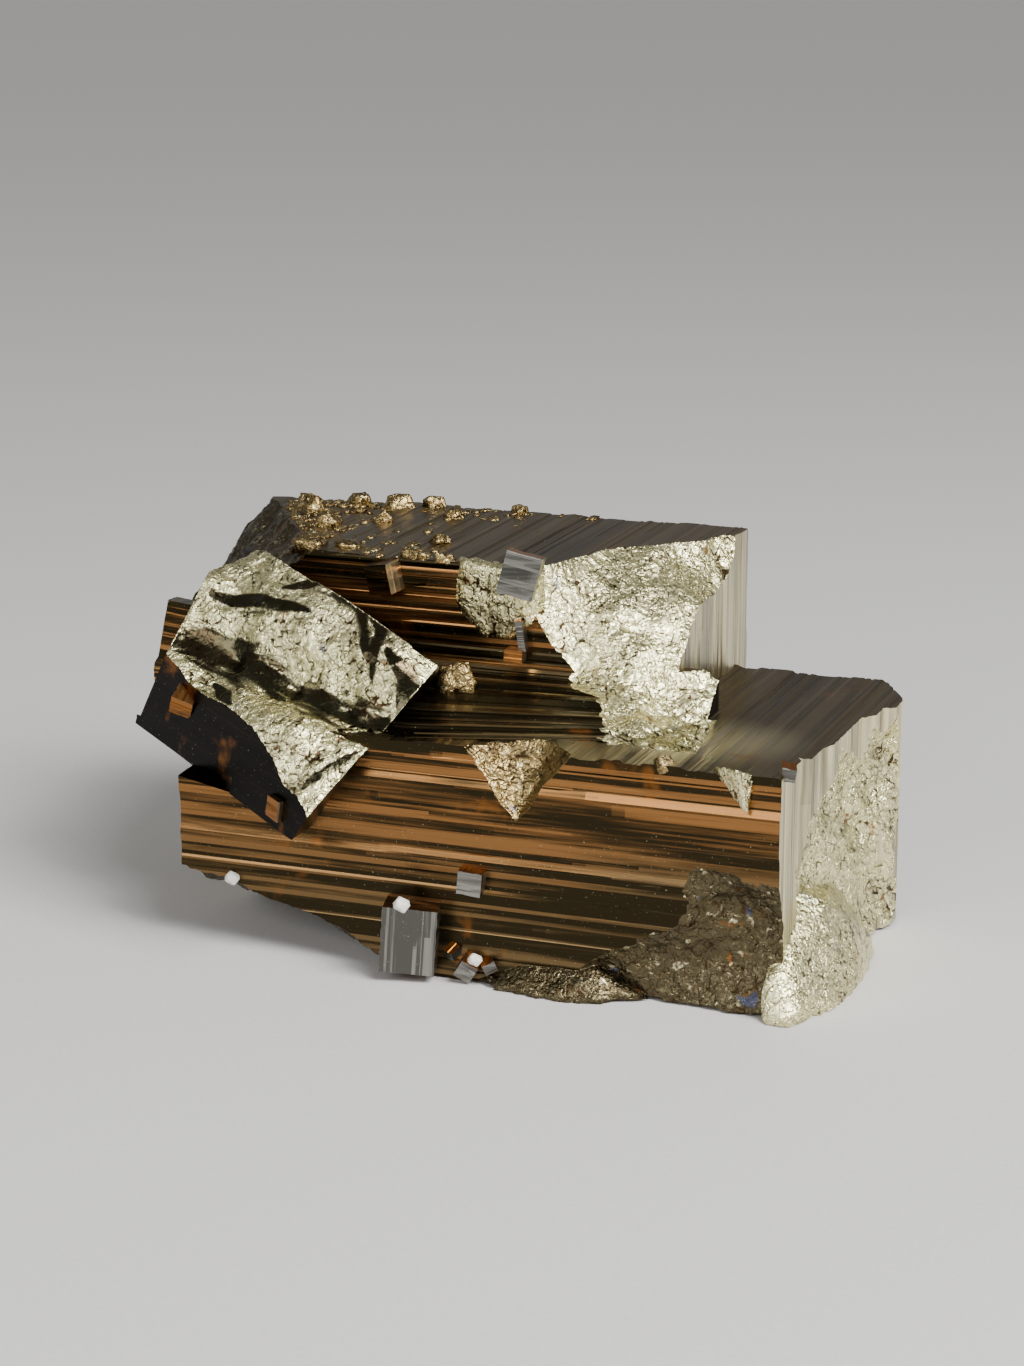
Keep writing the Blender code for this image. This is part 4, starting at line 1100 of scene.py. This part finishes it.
def broken_material(name, colours, metal, veins=1.0, darker=0.0, glint_flecks=0.0):
    """Broken faces: bright metal, curving dark cracks, sweeps painted dark as reflections, rust, blue
    tarnish.
    """
    material, tree, places, shader = start_material(name)
    swaying = {"Vector": places, "Scale": SWAY_CELLS / MM, "Detail": 2.0}
    sway = places.node("ShaderNodeTexNoise", None, swaying, 1)
    swayed = places.vector("ADD", sway.vector("MULTIPLY", (SWAY_AMOUNT, SWAY_AMOUNT, SWAY_AMOUNT)))
    tint = places.node("ShaderNodeTexVoronoi", None, {"Vector": swayed, "Scale": TINT_CELLS / MM}, 1)
    tint = tint.node("ShaderNodeSeparateColor", None, {0: tint}, 0)
    crevice = tree.attribute("crevice")
    calm = tree.attribute("calm")
    cracks = sum(vein(swayed, scale, width) * weight for scale, width, weight in VEINS)
    dark = (crevice * 0.8 + cracks * 0.85) * veins + places.grain(MURK_CELLS, 3.0) * 0.6 + tint * 0.12
    warm = (places.grain(WARM_CELLS, 2.0) * 0.8).blend(metal, np.multiply(metal, WARM_TINT).tolist())
    face = (dark - (0.58 - darker)).between(0.0, 1.05).blend(warm, colours.crack)
    rust = places.grain(RUST_CELLS, 3.0).between(*RUST_AMOUNT) * (0.15 + crevice)
    face = rust.blend(face, colours.rust)
    shifted = places.vector("ADD", SHEEN_SHIFT)
    sheen = shifted.grain(SHEEN_CELLS, 1.0).between(*SHEEN_AMOUNT)
    face = (sheen * 0.4).blend(face, colours.sheen)
    # Painted reflection: the smooth sweeps are painted dark and brown.
    dark_reflection = swayed.grain(REFLECTION_CELLS, 2.0).between(*REFLECTION_AMOUNT).blend(colours.dark_reflection, colours.umber)
    face = (calm.between(0.1, 0.9) * 0.96).blend(face, dark_reflection)
    # Painted glints: sparse bright brass flecks, kept out of the crevices.
    if glint_flecks:
        bright = swayed.grain(0.9, 3.0).between(0.66 - 0.1 * glint_flecks, 0.76 - 0.1 * glint_flecks)
        face = (bright * (0.7 - 0.7 * crevice)).blend(face, colours.brass)
    billow = swayed.grain(BILLOW_CELLS, 0.0) - 0.5
    billow = billow.maths("ABSOLUTE", billow)
    height = billow * 1.3 + tint * 0.22 + places.grain(3.0, 3.0) * 0.45 - cracks * 0.2
    bump = tree.node("ShaderNodeBump", None, {"Strength": 0.8, "Distance": BREAK_BUMP,
                                              "Height": height * (1.0 - calm * 0.85)})
    rough = (0.18 + tint * 0.12 + crevice * 0.2) * (1.0 - calm * 0.4)
    connect(tree, shader, {"Base Color": face, "Metallic": 1.0, "Normal": bump, "Roughness": rough})
    return material


def plain_material(name, shade, roughness, metallic=0.0):
    """One even colour."""
    material, tree, places, shader = start_material(name)
    mottled = places.grain(1.5, 2.0).blend(dimmed(shade, 0.85), shade)
    connect(tree, shader, {"Base Color": mottled, "Roughness": roughness, "Metallic": metallic})
    return material


def look(context, name):
    """The material of that name, made from the sidebar's colours when it is first asked for."""
    found = bpy.data.materials.get(name)
    if found:
        return found
    colours = context.scene.pyrite_colours
    shades = {field: list(getattr(colours, field)) for field in PyriteColours.__annotations__}
    shade, silver, top = shades["shade"], shades["silver"], shades["top"]
    grey = {"beige": silver, "top": shades["rust"], "bronze": silver, "tarnish": silver,
            "olive": dimmed(silver, 0.35)}
    up = np.cross(TILT_OUT, TILT_ALONG)
    upright = np.eye(3)
    growths = {
        STRIATED: ({}, upright),
        STRIATED + " stained": ({}, upright, -0.1, 0.2),
        # The terraces face up, so they take the top's dark colours, as painted reflection.
        STRIATED + " ledge": ({"bronze": dimmed(top, 1.3), "tarnish": top}, upright),
        STRIATED + " upright": (grey | {"beige": dimmed(shades["rust"], 0.6), "top": silver},
                                ON_END, 0.1, -0.1),
        STRIATED + " grey": (grey, upright, -0.15, -0.1),
        # The tilted crystal's striated faces are painted near black as shade and dark reflection, with a few
        # more rust spots that partly stand in for warm reflections.
        SHADED_TILTED: ({"beige": shade, "top": shade, "bronze": dimmed(shade, 2.2), "tarnish": dimmed(shade, 1.6)},
                 (TILT_ALONG, up, TILT_OUT), 0.1, 0.06),
    }
    if name in growths:
        changes, *rest = growths[name]
        return growth_material(name, SimpleNamespace(**(shades | changes)), *rest)
    shades = SimpleNamespace(**shades)
    makers = {
        BROKEN: lambda: broken_material(name, shades, shades.brass),
        BROWN: lambda: broken_material(name, shades, shades.brown, 0.9, 0.12, 0.5),
        DULL: lambda: broken_material(name, shades, shades.dull, 0.8, 0.05, 0.5),
        PALE: lambda: plain_material(name, shades.grain, 0.5),
        FLOOR: lambda: plain_material(name, shades.floor, 0.7),
    }
    return makers[name]()


def stripes(context):
    """Width and depth of the fine stripes, in millimetres."""
    sizes = context.scene.pyrite_sizes
    return sizes.stripe_width / MM, sizes.stripe_depth / MM


def cells(context, coarse=1.0):
    """Width and height of the crackled cells and the grid's step, in millimetres."""
    sizes = context.scene.pyrite_sizes
    return sizes.cell_width / MM, sizes.cell_height / MM, coarse * sizes.grid_step / MM


def cut_break(context, piece, name):
    """Cut one of the broken faces into a piece."""
    points, outward, seed, coarse, spare, finish = BREAKS[name]
    sheet = rough_sheet(name, points, outward, seed, cells(context, coarse), look(context, finish),
                        spare=spare)
    combine(piece, sheet, "DIFFERENCE")


def add_stone(context, piece, name, operation="UNION"):
    """Unite one of the rough lumps with a piece, or cut it out."""
    corners, seed, around, finish = STONES[name]
    combine(piece, stone(name, corners, seed, cells(context), look(context, finish), around), operation)


def clear_tilted(context, piece):
    """Cut away what would show in front of the tilted crystal's bevel."""
    clearance = wedge("tilt_clearance", TILT_CLEARANCE, look(context, SHADED_TILTED), COVERED)
    move_points(clearance, tilted_to_cluster)
    combine(piece, clearance, "DIFFERENCE")


class PYRITE_OT_base_crystal(bpy.types.Operator):
    """Build the long lower crystal with its broken end, notch and rough foot"""

    bl_idname = "pyrite.base_crystal"
    bl_label = "Base crystal"

    def execute(self, context):
        sizes = context.scene.pyrite_sizes
        top = (sizes.base_length / MM, sizes.base_depth / MM, sizes.base_height / MM)
        piece = crystal("base_crystal", (0.0, 0.0, 0.0), top, 11, stripes(context),
                        look(context, STRIATED), BASE_RIGHT_STEPS)
        for name in ("side_break", "front_break", "undercut", "rear_break", "shoulder_break"):
            cut_break(context, piece, name)
        add_stone(context, piece, "notch", "DIFFERENCE")
        clear_tilted(context, piece)
        add_stone(context, piece, "toe")
        add_stone(context, piece, "bulge")
        cut_level(piece, look(context, DULL))
        finish_piece(piece)
        return {"FINISHED"}


class PYRITE_OT_upper_crystal(bpy.types.Operator):
    """Build the upper crystal with its broken shoulder, terraces and crust"""

    bl_idname = "pyrite.upper_crystal"
    bl_label = "Upper crystal"

    def execute(self, context):
        growth = look(context, STRIATED)
        piece = crystal("upper_crystal", *UPPER_CRYSTAL, 12, stripes(context), growth)
        add_stone(context, piece, "buttress")
        ledge = look(context, STRIATED + " ledge")
        combine(piece, build_apron(np.random.default_rng(5), stripes(context), ledge), "UNION")
        for name in ("shoulder_break", "bevel_break", "rear_top_break"):
            cut_break(context, piece, name)
        sheet = rough_sheet("tilt_break", TILT_BREAK, (0.0, 0.0, 1.0), 41, cells(context, 2.0),
                            look(context, SHADED_TILTED), swept_calm, 1.0)
        move_points(sheet, tilted_to_cluster)
        combine(piece, sheet, "DIFFERENCE")
        clear_tilted(context, piece)
        add_stone(context, piece, "crust")
        finish_piece(piece)
        return {"FINISHED"}


class PYRITE_OT_tilted_crystal(bpy.types.Operator):
    """Build the tilted crystal with its large broken face"""

    bl_idname = "pyrite.tilted_crystal"
    bl_label = "Tilted crystal"

    def execute(self, context):
        growth = look(context, SHADED_TILTED)
        piece = crystal("tilted_crystal", *TILT_SIZE, 31, stripes(context), growth)
        for name, corners in (("tilt_bevel", TILT_BEVEL), ("tilt_corner_bevel", TILT_CORNER_BEVEL),
                              ("tilt_underside", TILT_UNDERSIDE), ("tilt_side_bevel", TILT_SIDE_BEVEL)):
            combine(piece, wedge(name, corners, growth), "DIFFERENCE")
        sheet = rough_sheet("tilt_break", TILT_BREAK, (0.0, 0.0, 1.0), 41, cells(context, 0.85),
                            look(context, BROKEN), swept_calm, 1.0)
        combine(piece, sheet, "DIFFERENCE")
        move_points(piece, tilted_to_cluster)
        finish_piece(piece)
        return {"FINISHED"}


class PYRITE_OT_rear_growths(bpy.types.Operator):
    """Build the parallel crystals at the back and at the left"""

    bl_idname = "pyrite.rear_growths"
    bl_label = "Rear growths"

    def execute(self, context):
        for name, (low, high), seed, cuts in (
                ("rear_growth", REAR_GROWTH, 13, ()),
                ("left_growth", LEFT_GROWTH, 14, ("left_break",)),
                ("back_step", BACK_STEP, 15, ("rear_break",))):
            piece = crystal(name, low, high, seed, stripes(context), look(context, STRIATED))
            for cut in cuts:
                cut_break(context, piece, cut)
            finish_piece(piece)
        return {"FINISHED"}


class PYRITE_OT_small_crystals(bpy.types.Operator):
    """Build the small crystals that sit on the faces"""

    bl_idname = "pyrite.small_crystals"
    bl_label = "Small crystals"

    def execute(self, context):
        width, depth = stripes(context)
        stripe = (SMALL_STRIPES * width, depth)
        for group, places, material in (
                ("stained_crystals", STAINED_CRYSTALS, STRIATED + " stained"),
                ("upright_crystal", UPRIGHT_CRYSTALS, STRIATED + " upright"),
                ("grey_crystals", GREY_CRYSTALS, STRIATED + " grey"),
                ("back_crystals", BACK_CRYSTALS, STRIATED)):
            growth = look(context, material)
            pieces = [small_crystal(f"{group}_{number}", *sizes, 200 + number, stripe, growth)
                      for number, sizes in enumerate(places)]
            finish_piece(gather(group, pieces))
        return {"FINISHED"}


def pebbles(name, places, shape, seed, relief, material, around, roughness):
    """Many small lumps as one finished object, from the place, half width and turn of each."""
    pieces = [stone(f"{name}_{number}", pebble_corners(place, half * np.array(shape), turn),
                    seed + number, relief, material, around, roughness * half)
              for number, (place, half, turn) in enumerate(places)]
    finish_piece(gather(name, pieces))


class PYRITE_OT_crumbs_and_grains(bpy.types.Operator):
    """Build the crumbs on the faces, the shard at the edge and the pale grains"""

    bl_idname = "pyrite.crumbs_and_grains"
    bl_label = "Crumbs and grains"

    def execute(self, context):
        width, height, step = cells(context)
        fine = (0.5 * width, 0.5 * height, step)
        brown = look(context, BROWN)
        lean, tip, turn = CRUMB_TURN
        crumbs = [(place, half, (lean, tip * number, turn * number))
                  for number, (place, half) in enumerate(CRUMBS)]
        pebbles("crumbs", crumbs, CRUMB_SHAPE, 70, fine, brown, 40, CRUMB_ROUGHNESS)
        pebbles("flakes", flake_places(), FLAKE_SHAPE, 90, fine, brown, 14, FLAKE_ROUGHNESS)
        finish_piece(stone("shard", SHARD, 64, fine, look(context, BROKEN), 40, SHARD_ROUGHNESS))
        smooth = (width, GRAIN_RELIEF, step)
        pieces = [stone(f"grain_{number}", pebble_corners(place, radius * np.array(GRAIN_SHAPE),
                                                          GRAIN_TURN, ROUND_BOX),
                        90 + number, smooth, look(context, PALE), 32, GRAIN_ROUGHNESS)
                  for number, (place, radius) in enumerate(GRAINS)]
        finish_piece(gather("grains", pieces))
        return {"FINISHED"}


class PYRITE_OT_studio(bpy.types.Operator):
    """Build the plain floor, the soft lights and the camera"""

    bl_idname = "pyrite.studio"
    bl_label = "Studio"

    def execute(self, context):
        half = FLOOR_HALF
        mesh = bpy.data.meshes.new("floor")
        mesh.from_pydata([(-half, -half, 0.0), (half, -half, 0.0), (half, half, 0.0), (-half, half, 0.0)], [],
                         [(0, 1, 2, 3)])
        mesh.materials.append(look(context, FLOOR))
        floor = bpy.data.objects.new("floor", mesh)
        context.scene.collection.objects.link(floor)
        world = bpy.data.worlds.new("studio")
        context.scene.world = world
        world.use_nodes = True
        world.node_tree.nodes["Background"].inputs["Color"].default_value = (
            *context.scene.pyrite_colours.sky, 1.0)
        world.node_tree.nodes["Background"].inputs["Strength"].default_value = SKY_STRENGTH
        for name, place, power, width, depth in LIGHTS:
            light = bpy.data.lights.new(name, "AREA")
            light.shape = "RECTANGLE"
            light.energy = power
            light.size = width
            light.size_y = depth
            lamp = bpy.data.objects.new(name, light)
            lamp.location = place
            lamp.rotation_euler = (-Vector(place)).to_track_quat("-Z", "Y").to_euler()
            context.scene.collection.objects.link(lamp)
        sun = bpy.data.objects.new("sun", bpy.data.lights.new("sun", "SUN"))
        sun.data.energy = SUN_STRENGTH
        sun.data.angle = math.radians(SUN_SPREAD)
        sun.rotation_euler = (-Vector(SUN_PLACE)).to_track_quat("-Z", "Y").to_euler()
        context.scene.collection.objects.link(sun)
        turn = math.radians(CAMERA_TURN)
        dip = math.radians(CAMERA_DIP)
        ahead = Vector((-math.sin(turn) * math.cos(dip), math.cos(turn) * math.cos(dip), -math.sin(dip)))
        right = Vector((math.cos(turn), math.sin(turn), 0.0))
        camera = bpy.data.objects.new("camera", bpy.data.cameras.new("camera"))
        camera.matrix_world = (Matrix.Translation(Vector(np.array(CAMERA_PLACE) * MM + CORNER))
                               @ Matrix((right, right.cross(ahead), -ahead)).transposed().to_4x4())
        camera.data.lens = CAMERA_LENS
        camera.data.clip_start = CAMERA_NEAREST
        context.scene.collection.objects.link(camera)
        context.scene.camera = camera
        return {"FINISHED"}


OPERATORS = (PYRITE_OT_base_crystal, PYRITE_OT_upper_crystal, PYRITE_OT_tilted_crystal,
             PYRITE_OT_rear_growths, PYRITE_OT_small_crystals, PYRITE_OT_crumbs_and_grains,
             PYRITE_OT_studio)


class PYRITE_PT_sidebar(bpy.types.Panel):
    """Sizes, colours and steps of the pyrite cluster"""

    bl_idname = "PYRITE_PT_sidebar"
    bl_label = "Pyrite cluster"
    bl_space_type = "VIEW_3D"
    bl_region_type = "UI"
    bl_category = "Pyrite"

    def draw(self, context):
        for group in (context.scene.pyrite_sizes, context.scene.pyrite_colours):
            box = self.layout.box()
            for name in type(group).__annotations__:
                box.prop(group, name)
        for operator in OPERATORS:
            self.layout.operator(operator.bl_idname)


CLASSES = (PyriteSizes, PyriteColours, *OPERATORS, PYRITE_PT_sidebar)


def register():
    """Make the classes known and give each scene its sizes and colours."""
    for each in CLASSES:
        bpy.utils.register_class(each)
    bpy.types.Scene.pyrite_sizes = bpy.props.PointerProperty(type=PyriteSizes)
    bpy.types.Scene.pyrite_colours = bpy.props.PointerProperty(type=PyriteColours)


def unregister():
    """Take back what register() added."""
    del bpy.types.Scene.pyrite_sizes
    del bpy.types.Scene.pyrite_colours
    for each in reversed(CLASSES):
        bpy.utils.unregister_class(each)


def main():
    """Build every piece and the studio."""
    register()
    bpy.ops.pyrite.base_crystal()
    bpy.ops.pyrite.upper_crystal()
    bpy.ops.pyrite.tilted_crystal()
    bpy.ops.pyrite.rear_growths()
    bpy.ops.pyrite.small_crystals()
    bpy.ops.pyrite.crumbs_and_grains()
    bpy.ops.pyrite.studio()


if __name__ == "__main__":
    main()
